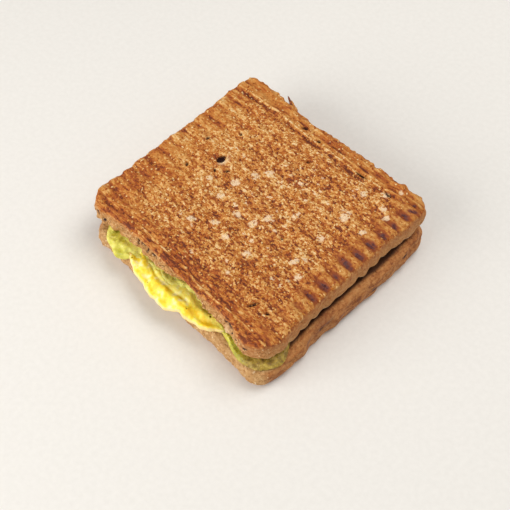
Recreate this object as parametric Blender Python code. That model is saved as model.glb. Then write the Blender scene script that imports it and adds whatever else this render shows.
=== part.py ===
"""A pressed sandwich: two ribbed slices of toasted bread with a round of egg and mashed avocado between.

Every length is in metres. +X runs along the side where the filling shows, +Z is up.
The shapes are drawn about the middle of the upper slice, then moved together so that the
bottom centre of the whole sandwich is the origin.
"""

import math

import bpy
from mathutils import Vector

MM = 0.001

# Layers, measured up from the table
LOWER_THICK = 11.6 * MM
LOAF_GAP = 5.6 * MM
UPPER_BASE = LOWER_THICK + LOAF_GAP
UPPER_TOP = 29.3 * MM
TOUCH = 0.3 * MM

# The press that marked the bread has ridges along X
RIB_PITCH = 7.9 * MM
GROOVE_FOOT = 0.9 * MM
GROOVE_BROW = 1.9 * MM
UPPER_GROOVE = {"at": 10.9 * MM, "depth": 0.95 * MM}
LOWER_GROOVE = {"at": -1.0 * MM, "depth": 0.8 * MM}

# Slices: middle, half lengths in X and Y, and corner radii in the order
# (-X -Y), (+X -Y), (+X +Y), (-X +Y)
UPPER = {
    "middle": (0.5 * MM, -0.9 * MM),
    "half": (60.0 * MM, 57.2 * MM),
    "radii": (10 * MM, 11 * MM, 6 * MM, 7 * MM),
    "columns": 24,
    "dome": 0.7 * MM,
}
LOWER = {
    "middle": (5.0 * MM, -2.9 * MM),
    "half": (60.2 * MM, 58.6 * MM),
    "radii": (9 * MM, 9.5 * MM, 10 * MM, 9 * MM),
    "columns": 14,
    "dome": 0.0,
}

# Swells and dents of each side: place along the side, half width, how far outwards
UPPER_SIDES = {
    "near": ((-30, 17, -2.8), (-8, 11, -2.2), (8, 8, -1.6), (29, 14, -2.6), (50, 8, 1.2)),
    "far": ((-15, 20, -2.6), (50, 14, 1.0)),
    "left": ((-48, 11, 0.9), (20, 16, -0.4)),
    "right": ((-46, 8, 0.5), (-22, 10, -0.6), (44, 11, 1.6)),
}
LOWER_SIDES = {
    "near": ((52, 11, 1.0), (-42, 10, -0.8), (5, 14, -0.6)),
    "far": ((-20, 18, -0.8), (30, 12, 0.6)),
    "left": ((-25, 14, 0.5), (28, 10, -0.6)),
    "right": ((28, 13, 1.3), (-18, 12, -0.8), (-48, 7, -0.6)),
}

# Crust section from the ribbed face to the cut face: inset from the side, share of the thickness
UPPER_CRUST = ((2.4, 0.00), (0.9, 0.09), (0.2, 0.30), (0.0, 0.62), (0.4, 0.93), (2.2, 1.00))
LOWER_CRUST = ((2.6, 0.00), (1.0, 0.12), (0.1, 0.40), (0.2, 0.70), (1.5, 0.94), (3.6, 1.00))
CUT_FACE_INSET = 9.0 * MM
LIP_DROP = 0.8 * MM

# Where the upper slice is pinched up over the egg
PINCH_AT = 8.0 * MM
PINCH_WIDTH = 9.0 * MM
PINCH_DEPTH = 3.6 * MM
PINCH_LIFT = 2.6 * MM
PINCH_DIP = 1.2 * MM
SCALLOP = 0.35 * MM

# Egg: a round sheet whose near edge hangs out over the lower slice
EGG_MIDDLE = Vector((0.0, -14.5 * MM, 0.0))
EGG_RADIUS = 51.8 * MM
EGG_BACK_TUCK = 5.0 * MM
EGG_THICK = 2.3 * MM
EGG_RIM_THICK = 3.0 * MM
EGG_SHELF = LOWER_THICK + TOUCH
EGG_DROOP_FROM = -61.0 * MM
EGG_DROOP_SLOPE = 0.38
NOTCH_ANGLE = math.radians(-77)
NOTCH_WIDTH = 0.06
NOTCH_DEPTH = 1.3 * MM
RIGHT_LOBE = 2.4 * MM
LEFT_LOBE = 1.0 * MM

# Avocado: its edge as (direction in degrees, distance from the egg's middle in mm)
AVOCADO_EDGE = (
    (-180, 51.5), (-160, 53.5), (-148, 58), (-140, 62), (-133, 63), (-128, 61.5), (-123, 58.5), (-117, 50),
    (-108, 45.0), (-99, 44.6), (-90, 42.8), (-80, 40.5), (-70, 42.5), (-62, 46), (-56, 50), (-50, 56.5),
    (-44, 66.5), (-39, 72), (-34.5, 73.6), (-30, 73.2), (-25.5, 69.5), (-20, 62), (-10, 54), (15, 54),
    (45, 70), (60, 66), (90, 58), (120, 66), (138, 72), (160, 55),
)

AVOCADO_ABOVE_EGG = TOUCH + 0.3 * MM
AVOCADO_ABOVE_SHELF = 0.05 * MM
AVOCADO_BELOW_SLICE = TOUCH + 0.5 * MM

# The near side gets finer sectors than the hidden sides
FINE_SECTOR = math.radians(2.4)
COARSE_SECTOR = math.radians(9.0)
FINE_FROM = math.radians(-156)
FINE_TO = math.radians(-19)


def hill(place, centre, width):
    """A smooth hill of height 1 over centre, fading out past width."""
    return math.exp(-((place - centre) / width) ** 2)


def ramp(value, start, end):
    """0 before start, 1 after end, with a soft change between."""
    share = min(1.0, max(0.0, (value - start) / (end - start)))
    return share * share * (3 - 2 * share)


def groove(y, press):
    """Depth at y of the grooves that the press leaves, with flat crests between them."""
    away = abs((y - press["at"] + RIB_PITCH / 2) % RIB_PITCH - RIB_PITCH / 2)
    side = (GROOVE_BROW - away) / (GROOVE_BROW - GROOVE_FOOT)
    return press["depth"] * min(1.0, max(0.0, side))


def groove_rows(middle, half, press):
    """Offsets from middle of the mesh rows, one on each edge of each groove."""
    first = math.floor((middle - half - press["at"]) / RIB_PITCH)
    last = math.ceil((middle + half - press["at"]) / RIB_PITCH)
    edges = (-GROOVE_BROW, -GROOVE_FOOT, GROOVE_FOOT, GROOVE_BROW)
    rows = [press["at"] + k * RIB_PITCH + edge - middle for k in range(first, last + 1) for edge in edges]
    inside = [row for row in rows if abs(row) < half - 0.6 * MM]
    return [-half] + inside + [half]


def round_corner(x, y, half, radii):
    """Move a point of the plain rectangle so that the rectangle's corners become arcs."""
    right = x > 0
    up = y > 0
    radius = radii[{(False, False): 0, (True, False): 1, (True, True): 2, (False, True): 3}[right, up]]
    a = (abs(x) - half[0] + radius) / radius
    b = (abs(y) - half[1] + radius) / radius
    if a <= 0 or b <= 0:
        return x, y
    turn = math.pi / 4 * min(a, b) / max(a, b)
    if b > a:
        turn = math.pi / 2 - turn
    reach = max(a, b) * radius
    x_new = half[0] - radius + reach * math.cos(turn)
    y_new = half[1] - radius + reach * math.sin(turn)
    return math.copysign(x_new, x), math.copysign(y_new, y)


def side_shift(x, y, half, sides):
    """How far the swells and dents of the four sides move a point; they fade towards the middle."""
    def total(name, place):
        return sum(out * MM * hill(place, at * MM, width * MM) for at, width, out in sides[name])

    near = ramp(-y / half[1], 0.72, 1.0)
    far = ramp(y / half[1], 0.72, 1.0)
    left = ramp(-x / half[0], 0.72, 1.0)
    right = ramp(x / half[0], 0.72, 1.0)
    return (right * total("right", y) - left * total("left", y),
            far * total("far", x) - near * total("near", x))


def face_grid(slab, sides, press, inset):
    """Rows of (x, y, groove depth) that fill a slice's ribbed face out to its crust."""
    half = (slab["half"][0] - inset, slab["half"][1] - inset)
    radii = [radius - inset / 2 for radius in slab["radii"]]
    rows = groove_rows(slab["middle"][1], half[1], press)
    count = slab["columns"]
    # the cosine blend packs the columns closer towards the rounded corners
    spread = [-math.cos(math.pi * i / count) for i in range(count + 1)]
    columns = [half[0] * (0.45 * spread[i] + 0.55 * (2 * i / count - 1)) for i in range(count + 1)]
    grid = []
    for row in rows:
        line = []
        for column in columns:
            x, y = round_corner(column, row, half, radii)
            dx, dy = side_shift(x, y, half, sides)
            drop = groove(row + slab["middle"][1], press)
            line.append((x + dx + slab["middle"][0], y + dy + slab["middle"][1], drop))
        grid.append(line)
    return grid


def border(grid):
    """Indices of the grid's outer points, anticlockwise seen from above."""
    last_row = len(grid) - 1
    last_column = len(grid[0]) - 1
    loop = [(0, j) for j in range(last_column)]
    loop += [(i, last_column) for i in range(last_row)]
    loop += [(last_row, j) for j in range(last_column, 0, -1)]
    loop += [(i, 0) for i in range(last_row, 0, -1)]
    return loop


def outward(loop, index):
    """The unit vector that points out of a closed loop at one of its points."""
    before = loop[index - 1]
    after = loop[(index + 1) % len(loop)]
    run = Vector((after[0] - before[0], after[1] - before[1]))
    return Vector((run.y, -run.x)).normalized()


def crumple(place):
    """A small unevenness, the same each time, for a length along an edge."""
    return 0.28 * MM * math.sin(place / (3.1 * MM)) + 0.22 * MM * math.sin(place / (7.3 * MM) + 1.2)


def upper_crust_shift(x, y, share):
    """How the upper slice's crust moves in or out and up: the pinch over the egg, the pressed ribs."""
    on_near_side = ramp(-y, 35 * MM, 50 * MM)
    pinch = on_near_side * hill(x, PINCH_AT, PINCH_WIDTH)
    outwards = -PINCH_DEPTH * pinch * ramp(share, 0.0, 0.7)
    upwards = PINCH_LIFT * pinch * ramp(share, 0.2, 1.0) - PINCH_DIP * pinch * (1 - ramp(share, 0.0, 0.3))
    on_right_side = ramp(x, 48 * MM, 58 * MM)
    wave = math.cos(2 * math.pi * (y - UPPER_GROOVE["at"]) / RIB_PITCH)
    outwards += SCALLOP * on_right_side * wave * ramp(share, 0.2, 0.9)
    return outwards, upwards


def even_crust_shift(*place):
    """A crust that keeps its section all the way round."""
    return 0.0, 0.0


def dome(x, y, slab):
    """How far the ribbed face falls away towards the slice's edges."""
    u = (x - slab["middle"][0]) / slab["half"][0]
    v = (y - slab["middle"][1]) / slab["half"][1]
    return slab["dome"] * (abs(u) ** 4 + abs(v) ** 4)


def slice_mesh(slab, sides, press, crust, crust_shift):
    """Points and faces of one slice, ribbed face at height 0 and cut face below it at depth 1.

    Heights are returned as (share of the thickness, extra height) so that either slice can use them.
    """
    grid = face_grid(slab, sides, press, crust[0][0] * MM)
    points = []
    faces = []
    width = len(grid[0])
    loop = border(grid)
    edge = [grid[i][j] for i, j in loop]

    for line in grid:
        for x, y, cut_in in line:
            outwards, upwards = crust_shift(x, y, 0.0)
            drop = cut_in + dome(x, y, slab)
            points.append((x, y, 0.0, upwards - drop))
    for i in range(len(grid) - 1):
        for j in range(width - 1):
            corner = i * width + j
            faces.append((corner, corner + 1, corner + width + 1, corner + width))

    ring = [i * width + j for i, j in loop]
    for inset, share in crust[1:] + ((crust[0][0] + CUT_FACE_INSET / MM, 1.0),):
        cut = inset * MM > CUT_FACE_INSET
        lower_ring = []
        for k, (x, y, cut_in) in enumerate(edge):
            out = outward(edge, k)
            outwards, upwards = crust_shift(x, y, share)
            if cut:
                outwards, upwards = 0.0, 0.0
            reach = crust[0][0] * MM - inset * MM + outwards + crumple(x - y) * share * (1 - share) * 4
            fade = 1 - ramp(share, 0.0, 0.25)
            drop = (cut_in + dome(x, y, slab)) * fade
            lip = 0.0 if cut else LIP_DROP * ramp(share, 0.7, 1.0)
            lower_ring.append(len(points))
            points.append((x + out.x * reach, y + out.y * reach, share, upwards - drop - lip))
        count = len(ring)
        for k in range(count):
            after = (k + 1) % count
            faces.append((ring[k], lower_ring[k], lower_ring[after], ring[after]))
        ring = lower_ring
    faces.append(tuple(reversed(ring)))
    return points, faces


def make_object(name, points, faces, material):
    """A mesh object with smooth shading and sharp creases kept."""
    mesh = bpy.data.meshes.new(name)
    mesh.from_pydata(points, [], faces)
    mesh.validate()
    mesh.materials.append(material)
    mesh.shade_smooth()
    mesh.set_sharp_from_angle(angle=math.radians(50))
    made = bpy.data.objects.new(name, mesh)
    bpy.context.scene.collection.objects.link(made)
    return made


def make_material(name, colour, roughness):
    material = bpy.data.materials.new(name)
    material.use_nodes = True
    shader = material.node_tree.nodes["Principled BSDF"]
    shader.inputs["Base Color"].default_value = (*colour, 1.0)
    shader.inputs["Roughness"].default_value = roughness
    shader.inputs["Metallic"].default_value = 0.0
    return material


def make_upper_slice():
    thick = UPPER_TOP - UPPER_BASE
    points, faces = slice_mesh(UPPER, UPPER_SIDES, UPPER_GROOVE, UPPER_CRUST, upper_crust_shift)
    solid = [(x, y, UPPER_TOP - share * thick + extra) for x, y, share, extra in points]
    return make_object("bread_top", solid, faces, make_material("toasted crust", (0.44, 0.21, 0.08), 0.72))


def make_lower_slice():
    """The lower slice is drawn like the upper one and turned over, so its ribs face down."""
    points, faces = slice_mesh(LOWER, LOWER_SIDES, LOWER_GROOVE, LOWER_CRUST, even_crust_shift)
    solid = [(x, y, min(share * LOWER_THICK - extra, LOWER_THICK)) for x, y, share, extra in points]
    turned = [tuple(reversed(face)) for face in faces]
    return make_object("bread_bottom", solid, turned, make_material("lower crust", (0.40, 0.19, 0.08), 0.75))


def directions():
    """Angles of the sectors round the egg's middle, fine on the near side."""
    fine = round((FINE_TO - FINE_FROM) / FINE_SECTOR)
    rest = 2 * math.pi - (FINE_TO - FINE_FROM)
    coarse = round(rest / COARSE_SECTOR)
    near = [FINE_FROM + (FINE_TO - FINE_FROM) * i / fine for i in range(fine)]
    return near + [FINE_TO + rest * i / coarse for i in range(coarse)]


def egg_reach(angle):
    """Distance from the middle to the egg's edge: a lobed round with one notch."""
    angle = math.remainder(angle, 2 * math.pi)
    lobes = 0.5 * MM * math.sin(3 * angle + 0.6) + 0.35 * MM * math.sin(11 * angle)
    notch = NOTCH_DEPTH * hill(angle, NOTCH_ANGLE, NOTCH_WIDTH)
    degrees = math.degrees(angle)
    swell = RIGHT_LOBE * ramp(degrees, -76, -58) * (1 - ramp(degrees, -52, -40))
    swell += LEFT_LOBE * hill(degrees, -116, 11)
    tuck = EGG_BACK_TUCK * ramp(math.sin(angle), -0.75, -0.1)
    return EGG_RADIUS + lobes + swell - notch - tuck


def egg_under(x, y):
    """Underside of the egg: flat on the lower slice, sagging where it hangs over the edge."""
    return EGG_SHELF - EGG_DROOP_SLOPE * max(0.0, EGG_DROOP_FROM - y)


def egg_over(x, y):
    """Upper side of the egg, thicker and lumpier towards its showing edge."""
    showing = ramp(-y, 46 * MM, 58 * MM)
    lumps = 0.32 * MM * math.sin(x / (4.6 * MM)) * math.sin(y / (3.4 * MM) + 0.8)
    return egg_under(x, y) + EGG_THICK + showing * (EGG_RIM_THICK - EGG_THICK + lumps)


def loft(top, rings, bottom):
    """Points and faces of a closed body through rings that run from its top point to its bottom point."""
    count = len(rings[0])
    points = [top] + [point for ring in rings for point in ring] + [bottom]
    faces = []
    for k in range(count):
        after = (k + 1) % count
        faces.append((0, 1 + k, 1 + after))
        for r in range(len(rings) - 1):
            upper = 1 + r * count
            lower = upper + count
            faces.append((upper + k, lower + k, lower + after, upper + after))
        last = 1 + (len(rings) - 1) * count
        faces.append((last + k, len(points) - 1, last + after))
    return points, faces


def at(angle, reach, height):
    """A point at a direction and distance from the egg's middle; height is a function of x and y."""
    x = EGG_MIDDLE.x + reach * math.cos(angle)
    y = EGG_MIDDLE.y + reach * math.sin(angle)
    return (x, y, height(x, y))


def make_egg():
    angles = directions()
    rings = [[at(a, share * egg_reach(a), egg_over) for a in angles] for share in (0.4, 0.7, 0.84, 0.93, 0.975)]

    def edge(x, y):
        return (egg_over(x, y) + egg_under(x, y)) / 2

    rings.append([at(a, egg_reach(a), edge) for a in angles])
    rings += [[at(a, share * egg_reach(a), egg_under) for a in angles] for share in (0.975, 0.93, 0.86, 0.6)]
    middle = EGG_MIDDLE
    top = (middle.x, middle.y, egg_over(middle.x, middle.y))
    bottom = (middle.x, middle.y, egg_under(middle.x, middle.y))
    points, faces = loft(top, rings, bottom)
    return make_object("egg", points, faces, make_material("cooked egg", (0.86, 0.62, 0.06), 0.32))


def avocado_reach(angle):
    """Distance to the avocado's edge, read from a smooth closed curve through AVOCADO_EDGE."""
    degrees = (math.degrees(angle) + 180) % 360 - 180
    count = len(AVOCADO_EDGE)
    stops = [AVOCADO_EDGE[k % count][0] + 360 * (k // count) for k in range(-1, count + 2)]
    reaches = [AVOCADO_EDGE[k % count][1] for k in range(-1, count + 2)]
    for k in range(1, count + 1):
        if stops[k] <= degrees < stops[k + 1]:
            t = (degrees - stops[k]) / (stops[k + 1] - stops[k])
            slope_a = (reaches[k + 1] - reaches[k - 1]) / (stops[k + 1] - stops[k - 1])
            slope_b = (reaches[k + 2] - reaches[k]) / (stops[k + 2] - stops[k])
            span = stops[k + 1] - stops[k]
            blend = t * t * (3 - 2 * t)
            bend = t * (1 - t) * span * (slope_a * (1 - t) - slope_b * t)
            return (reaches[k] * (1 - blend) + reaches[k + 1] * blend + bend) * MM
    raise ValueError("no direction in the avocado's edge matches")


def over_egg(angle, reach):
    """Whether a place lies on the egg, with a little to spare round the egg's edge."""
    return reach < egg_reach(angle) + 1.2 * MM


def avocado_under(angle, reach):
    """Underside of the avocado: on the egg, or past it on the lower slice."""
    over = at(angle, min(reach, egg_reach(angle)), egg_over)[2]
    if over_egg(angle, reach):
        return over + AVOCADO_ABOVE_EGG
    return EGG_SHELF + AVOCADO_ABOVE_SHELF


def avocado_over(angle, reach):
    """Upper side of the avocado, pressed flat under the upper slice and lower where it peeps out."""
    x, y, _ = at(angle, reach, lambda x, y: 0.0)
    edge = avocado_reach(angle)
    peeping = ramp(reach, edge - 16 * MM, edge - 8 * MM)
    thin = ramp(x, 24 * MM, 44 * MM) * ramp(-y, 30 * MM, 46 * MM)
    sunk = (1.2 + 1.4 * thin) * MM
    lumps = 0.18 * MM * math.sin(x / (2.9 * MM)) * math.sin(y / (3.7 * MM))
    return UPPER_BASE - AVOCADO_BELOW_SLICE - peeping * sunk + peeping * lumps


def make_avocado():
    angles = directions()

    def ring(distances, height):
        return [at(a, d, lambda x, y: height(a, d)) for a, d in zip(angles, distances)]

    edge = [avocado_reach(a) for a in angles]
    rings = [ring([share * d for d in edge], avocado_over) for share in (0.45, 0.75)]
    rings += [ring([d - back * MM for d in edge], avocado_over) for back in (6.0, 2.4, 0.8)]

    def waist(angle, reach):
        return (avocado_over(angle, reach) + avocado_under(angle, reach)) / 2

    rings.append(ring(edge, waist))
    rings.append(ring([d - 0.8 * MM for d in edge], avocado_under))
    past_egg = [min(egg_reach(a) + 1.9 * MM, d - 1.6 * MM) for a, d in zip(angles, edge)]
    on_egg = [min(egg_reach(a) + 1.1 * MM, d - 2.4 * MM) for a, d in zip(angles, edge)]
    rings.append(ring(past_egg, avocado_under))
    rings.append(ring(on_egg, avocado_under))
    rings += [ring([share * d for d in on_egg], avocado_under) for share in (0.93, 0.84, 0.7, 0.4)]
    middle = EGG_MIDDLE
    top = (middle.x, middle.y, avocado_over(0.0, 0.0))
    bottom = (middle.x, middle.y, avocado_under(0.0, 0.0))
    points, faces = loft(top, rings, bottom)
    return make_object("avocado", points, faces, make_material("mashed avocado", (0.42, 0.46, 0.07), 0.4))


def stand_on_origin(objects):
    """Move everything together so that the bottom centre of the whole is the origin."""
    corners = [vertex.co for made in objects for vertex in made.data.vertices]
    low = [min(corner[axis] for corner in corners) for axis in range(3)]
    high = [max(corner[axis] for corner in corners) for axis in range(3)]
    shift = Vector((-(low[0] + high[0]) / 2, -(low[1] + high[1]) / 2, -low[2]))
    for made in objects:
        for vertex in made.data.vertices:
            vertex.co += shift
    print("moved by", [round(value / MM, 3) for value in shift])
    print("size", [round((high[axis] - low[axis]) / MM, 2) for axis in range(3)])


def main():
    for old in list(bpy.data.objects):
        bpy.data.objects.remove(old, do_unlink=True)
    stand_on_origin([make_lower_slice(), make_egg(), make_avocado(), make_upper_slice()])


main()
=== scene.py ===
# %% [markdown]
# # A pressed sandwich of egg and avocado
# The real thing is two slices of wholemeal toast from a ribbed press, with a round of cooked egg and a layer
# of mashed avocado between them. The CAD model fixes where each layer is. This lesson gives every layer its
# fine shape and its finish: crumb, scorched ribs, moist egg and lumpy avocado.

# %% Load the fixed frame
import math

import bpy
import numpy as np
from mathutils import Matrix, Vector


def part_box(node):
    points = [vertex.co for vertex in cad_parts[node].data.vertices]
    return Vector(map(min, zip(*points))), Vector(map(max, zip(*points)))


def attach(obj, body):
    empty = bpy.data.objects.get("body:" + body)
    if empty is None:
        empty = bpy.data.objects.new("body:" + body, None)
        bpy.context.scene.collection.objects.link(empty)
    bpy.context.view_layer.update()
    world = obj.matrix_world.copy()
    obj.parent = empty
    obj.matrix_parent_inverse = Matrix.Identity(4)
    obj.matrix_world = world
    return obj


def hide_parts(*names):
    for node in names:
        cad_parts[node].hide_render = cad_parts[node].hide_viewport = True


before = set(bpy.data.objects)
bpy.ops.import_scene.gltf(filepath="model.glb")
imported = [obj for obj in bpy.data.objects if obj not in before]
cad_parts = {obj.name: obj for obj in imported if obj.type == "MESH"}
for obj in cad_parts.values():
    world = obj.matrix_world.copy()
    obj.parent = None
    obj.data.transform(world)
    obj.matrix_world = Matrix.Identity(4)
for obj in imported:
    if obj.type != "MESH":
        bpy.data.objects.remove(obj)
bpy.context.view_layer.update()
MM = 0.001
print("nodes", sorted(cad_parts))

# %% [markdown]
# ## Camera, floor and light
# The camera looks down on one corner from about 59 degrees, with a short telephoto lens, as food is often
# shot. A big soft light stands behind and to the right, so the shadow falls forward and to the left. A pale
# floor and a bright world throw light back under the overhanging egg.

# %% Camera
LENS_MM = 69.05
CAMERA_AZIMUTH = math.radians(44.96)
CAMERA_HEIGHT = math.radians(58.55)
CAMERA_DISTANCE = 486.6 * MM
LOOK_AT = Vector((6.02 * MM, -5.88 * MM, 0.0))

camera_data = bpy.data.cameras.new("camera")
camera_data.lens = LENS_MM
camera_data.clip_start = 0.02
camera = bpy.data.objects.new("camera", camera_data)
bpy.context.scene.collection.objects.link(camera)
back = Vector((math.sin(CAMERA_AZIMUTH) * math.cos(CAMERA_HEIGHT),
               -math.cos(CAMERA_AZIMUTH) * math.cos(CAMERA_HEIGHT),
               math.sin(CAMERA_HEIGHT)))
camera.location = LOOK_AT + back * CAMERA_DISTANCE
camera.rotation_euler = (math.pi / 2 - CAMERA_HEIGHT, 0.0, CAMERA_AZIMUTH)
bpy.context.scene.camera = camera
bpy.context.scene.view_settings.view_transform = "Standard"
print("camera", [round(c, 3) for c in camera.location])

# %% Lights and world
def soft_light(name, place, size, power, colour):
    """A square area light that faces the sandwich."""
    lamp = bpy.data.lights.new(name, "AREA")
    lamp.size = size
    lamp.energy = power
    lamp.color = colour
    made = bpy.data.objects.new(name, lamp)
    made.location = place
    made.rotation_euler = (Vector((0, 0, 0.01)) - Vector(place)).to_track_quat("-Z", "Y").to_euler()
    bpy.context.scene.collection.objects.link(made)
    return made


soft_light("key light", (0.16, 0.36, 0.85), 0.55, 4.8, (1.0, 0.98, 0.95))
soft_light("fill light", (-0.28, -0.80, 0.38), 0.80, 8.0, (1.0, 0.98, 0.95))
world = bpy.data.worlds.new("studio")
world.use_nodes = True
world.node_tree.nodes["Background"].inputs["Color"].default_value = (1.0, 0.985, 0.96, 1.0)
world.node_tree.nodes["Background"].inputs["Strength"].default_value = 0.42
bpy.context.scene.world = world

# %% [markdown]
# ## Node helpers
# Shader trees and Geometry Nodes trees are built the same way: add a node, set its options, then feed each
# input with a number or with another node's output. A few helpers keep that short: `put` adds a node, `calc`
# adds one arithmetic step, and `spread`, `noise` and `scaled` add the nodes that come up most.

# %% Node helpers
def put(tree, kind, feeds=None, **settings):
    """A new node with its options set and its inputs fed by values or by other nodes' outputs."""
    node = tree.nodes.new(kind)
    for name, value in settings.items():
        setattr(node, name, value)
    for socket, value in (feeds or {}).items():
        target = node.inputs[socket]
        if isinstance(value, bpy.types.NodeSocket):
            tree.links.new(value, target)
        else:
            target.default_value = value
    return node


def calc(tree, operation, *terms):
    """One arithmetic step on numbers or outputs."""
    return put(tree, "ShaderNodeMath", dict(enumerate(terms)), operation=operation).outputs[0]


def spread(tree, value, low, high, to_low=0.0, to_high=1.0, soft=False):
    """Stretch value so that low becomes to_low and high becomes to_high, and clamp the rest."""
    node = put(tree, "ShaderNodeMapRange",
               {"Value": value, "From Min": low, "From Max": high, "To Min": to_low, "To Max": to_high})
    node.interpolation_type = "SMOOTHSTEP" if soft else "LINEAR"
    return node.outputs["Result"]


def noise(tree, place, scale, detail, roughness=0.5, seed=None):
    """Smooth noise with about scale lumps to a unit; with a seed it is drawn afresh for each seed."""
    feeds = {"Vector": place, "Scale": scale, "Detail": detail, "Roughness": roughness}
    if seed is None:
        return put(tree, "ShaderNodeTexNoise", feeds)
    return put(tree, "ShaderNodeTexNoise", {**feeds, "W": seed}, noise_dimensions="4D")


def scaled(tree, vector, factor):
    """A vector made factor times as long."""
    return put(tree, "ShaderNodeVectorMath", {0: vector, "Scale": factor}, operation="SCALE").outputs[0]


def new_tree(name, kind, inputs, outputs):
    """A node group with named sockets, and its input and output nodes. A socket is (name, type, value)."""
    tree = bpy.data.node_groups.new(name, kind)
    for direction, sockets in (("INPUT", inputs), ("OUTPUT", outputs)):
        for label, socket_type, *value in sockets:
            socket = tree.interface.new_socket(label, in_out=direction, socket_type=socket_type)
            if value:
                socket.default_value = value[0]
    return tree, put(tree, "NodeGroupInput"), put(tree, "NodeGroupOutput")


FLOAT, VECTOR, SHAPE = "NodeSocketFloat", "NodeSocketVector", "NodeSocketGeometry"
print("helpers ready")

# %% [markdown]
# ## Shared finish 1: toasted mottling
# Toast is never one brown. Broad patches come from uneven contact with the press, and grains of about a
# millimetre come from the crumb: their tops scorch while the hollows stay pale. One group gives both, and
# every bread material places it with its own sizes.

# %% Mottling group
def make_mottle_group():
    tree, given, result = new_tree(
        "toast mottling", "ShaderNodeTree",
        [("Place in mm", VECTOR), ("Grain per mm", FLOAT, 0.8), ("Patch per mm", FLOAT, 0.05),
         ("Streak", FLOAT, 1.0)],
        [("Patches", FLOAT), ("Grain", FLOAT)])
    place = given.outputs["Place in mm"]
    grain_size = given.outputs["Grain per mm"]
    stretch = put(tree, "ShaderNodeCombineXYZ", {0: given.outputs["Streak"], 1: 1.0, 2: 1.0}).outputs[0]
    drawn = put(tree, "ShaderNodeVectorMath", {0: place, 1: stretch}, operation="MULTIPLY").outputs[0]
    broad = noise(tree, drawn, given.outputs["Patch per mm"], 3.0, 0.6)
    tree.links.new(spread(tree, broad.outputs["Fac"], 0.28, 0.72), result.inputs["Patches"])
    lumps = noise(tree, drawn, grain_size, 3.0, 0.7)
    wander = scaled(tree, lumps.outputs["Color"], 0.9)
    bend = put(tree, "ShaderNodeVectorMath", {0: drawn, 1: wander}).outputs[0]
    tones = []
    for share in (1.0, 1.9):
        cells = put(tree, "ShaderNodeTexVoronoi",
                    {"Vector": bend, "Scale": calc(tree, "MULTIPLY", grain_size, share), "Randomness": 1.0})
        tones.append(put(tree, "ShaderNodeSeparateColor", {"Color": cells.outputs["Color"]}).outputs[0])
    mixed = calc(tree, "ADD", calc(tree, "MULTIPLY", spread(tree, lumps.outputs["Fac"], 0.28, 0.72), 0.42),
                 calc(tree, "MULTIPLY_ADD", tones[0], 0.33, calc(tree, "MULTIPLY", tones[1], 0.25)))
    tree.links.new(mixed, result.inputs["Grain"])
    return tree


MOTTLE = make_mottle_group()
print("mottling outputs", [s.name for s in MOTTLE.interface.items_tree if s.in_out == "OUTPUT"])

# %% [markdown]
# ## Shared finish 2: fine crumb height, and moist sheen
# Below about half a millimetre, shape is cheaper as a height that tilts the shading. `crumb height` gives
# open pores and crumbs for bread. `moist sheen` gives the patchy roughness of wet food: smooth where a film
# of moisture lies, dull where it has dried.

# %% Crumb height and moist sheen groups
def make_crumb_group():
    tree, given, result = new_tree(
        "crumb height", "ShaderNodeTree",
        [("Place in mm", VECTOR), ("Crumbs per mm", FLOAT, 1.6), ("Pores per mm", FLOAT, 0.5)],
        [("Height", FLOAT), ("Pores", FLOAT)])
    place = given.outputs["Place in mm"]
    crumbs = noise(tree, place, given.outputs["Crumbs per mm"], 3.0, 0.65)
    pores = put(tree, "ShaderNodeTexVoronoi",
                {"Vector": place, "Scale": given.outputs["Pores per mm"], "Randomness": 1.0})
    open_pore = spread(tree, pores.outputs["Distance"], 0.1, 0.34, 1.0, 0.0, True)
    height = calc(tree, "SUBTRACT", crumbs.outputs["Fac"], calc(tree, "MULTIPLY", open_pore, 0.8))
    tree.links.new(height, result.inputs["Height"])
    tree.links.new(open_pore, result.inputs["Pores"])
    return tree


def make_sheen_group():
    tree, given, result = new_tree(
        "moist sheen", "ShaderNodeTree",
        [("Place in mm", VECTOR), ("Wettest", FLOAT, 0.2), ("Driest", FLOAT, 0.5),
         ("Film per mm", FLOAT, 0.25)],
        [("Roughness", FLOAT), ("Ripple", FLOAT)])
    place = given.outputs["Place in mm"]
    film = noise(tree, place, given.outputs["Film per mm"], 2.0)
    roughness = put(tree, "ShaderNodeMapRange",
                    {"Value": film.outputs["Fac"], "From Min": 0.35, "From Max": 0.65,
                     "To Min": given.outputs["Wettest"], "To Max": given.outputs["Driest"]})
    tree.links.new(roughness.outputs["Result"], result.inputs["Roughness"])
    ripple = noise(tree, place, calc(tree, "MULTIPLY", given.outputs["Film per mm"], 5.0), 2.0)
    tree.links.new(ripple.outputs["Fac"], result.inputs["Ripple"])
    return tree


CRUMB = make_crumb_group()
SHEEN = make_sheen_group()
print("groups", MOTTLE.name, CRUMB.name, SHEEN.name)


# %% Material starters
def start_material(name):
    """A material's tree, its Principled shader, and the place on the piece in millimetres."""
    material = bpy.data.materials.new(name)
    material.use_nodes = True
    tree = material.node_tree
    shader = tree.nodes["Principled BSDF"]
    place = put(tree, "ShaderNodeTexCoord").outputs["Object"]
    in_mm = put(tree, "ShaderNodeMapping", {"Vector": place, "Scale": (1000, 1000, 1000)}).outputs["Vector"]
    return material, tree, shader, in_mm


def colours(tree, value, stops):
    """A colour ramp through (position, (red, green, blue)) stops."""
    node = put(tree, "ShaderNodeValToRGB", {"Fac": value})
    ramp_elements = node.color_ramp.elements
    while len(ramp_elements) < len(stops):
        ramp_elements.new(1.0)
    for element, (position, colour) in zip(ramp_elements, stops):
        element.position = position
        element.color = (*colour, 1.0)
    return node.outputs["Color"]


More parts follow.
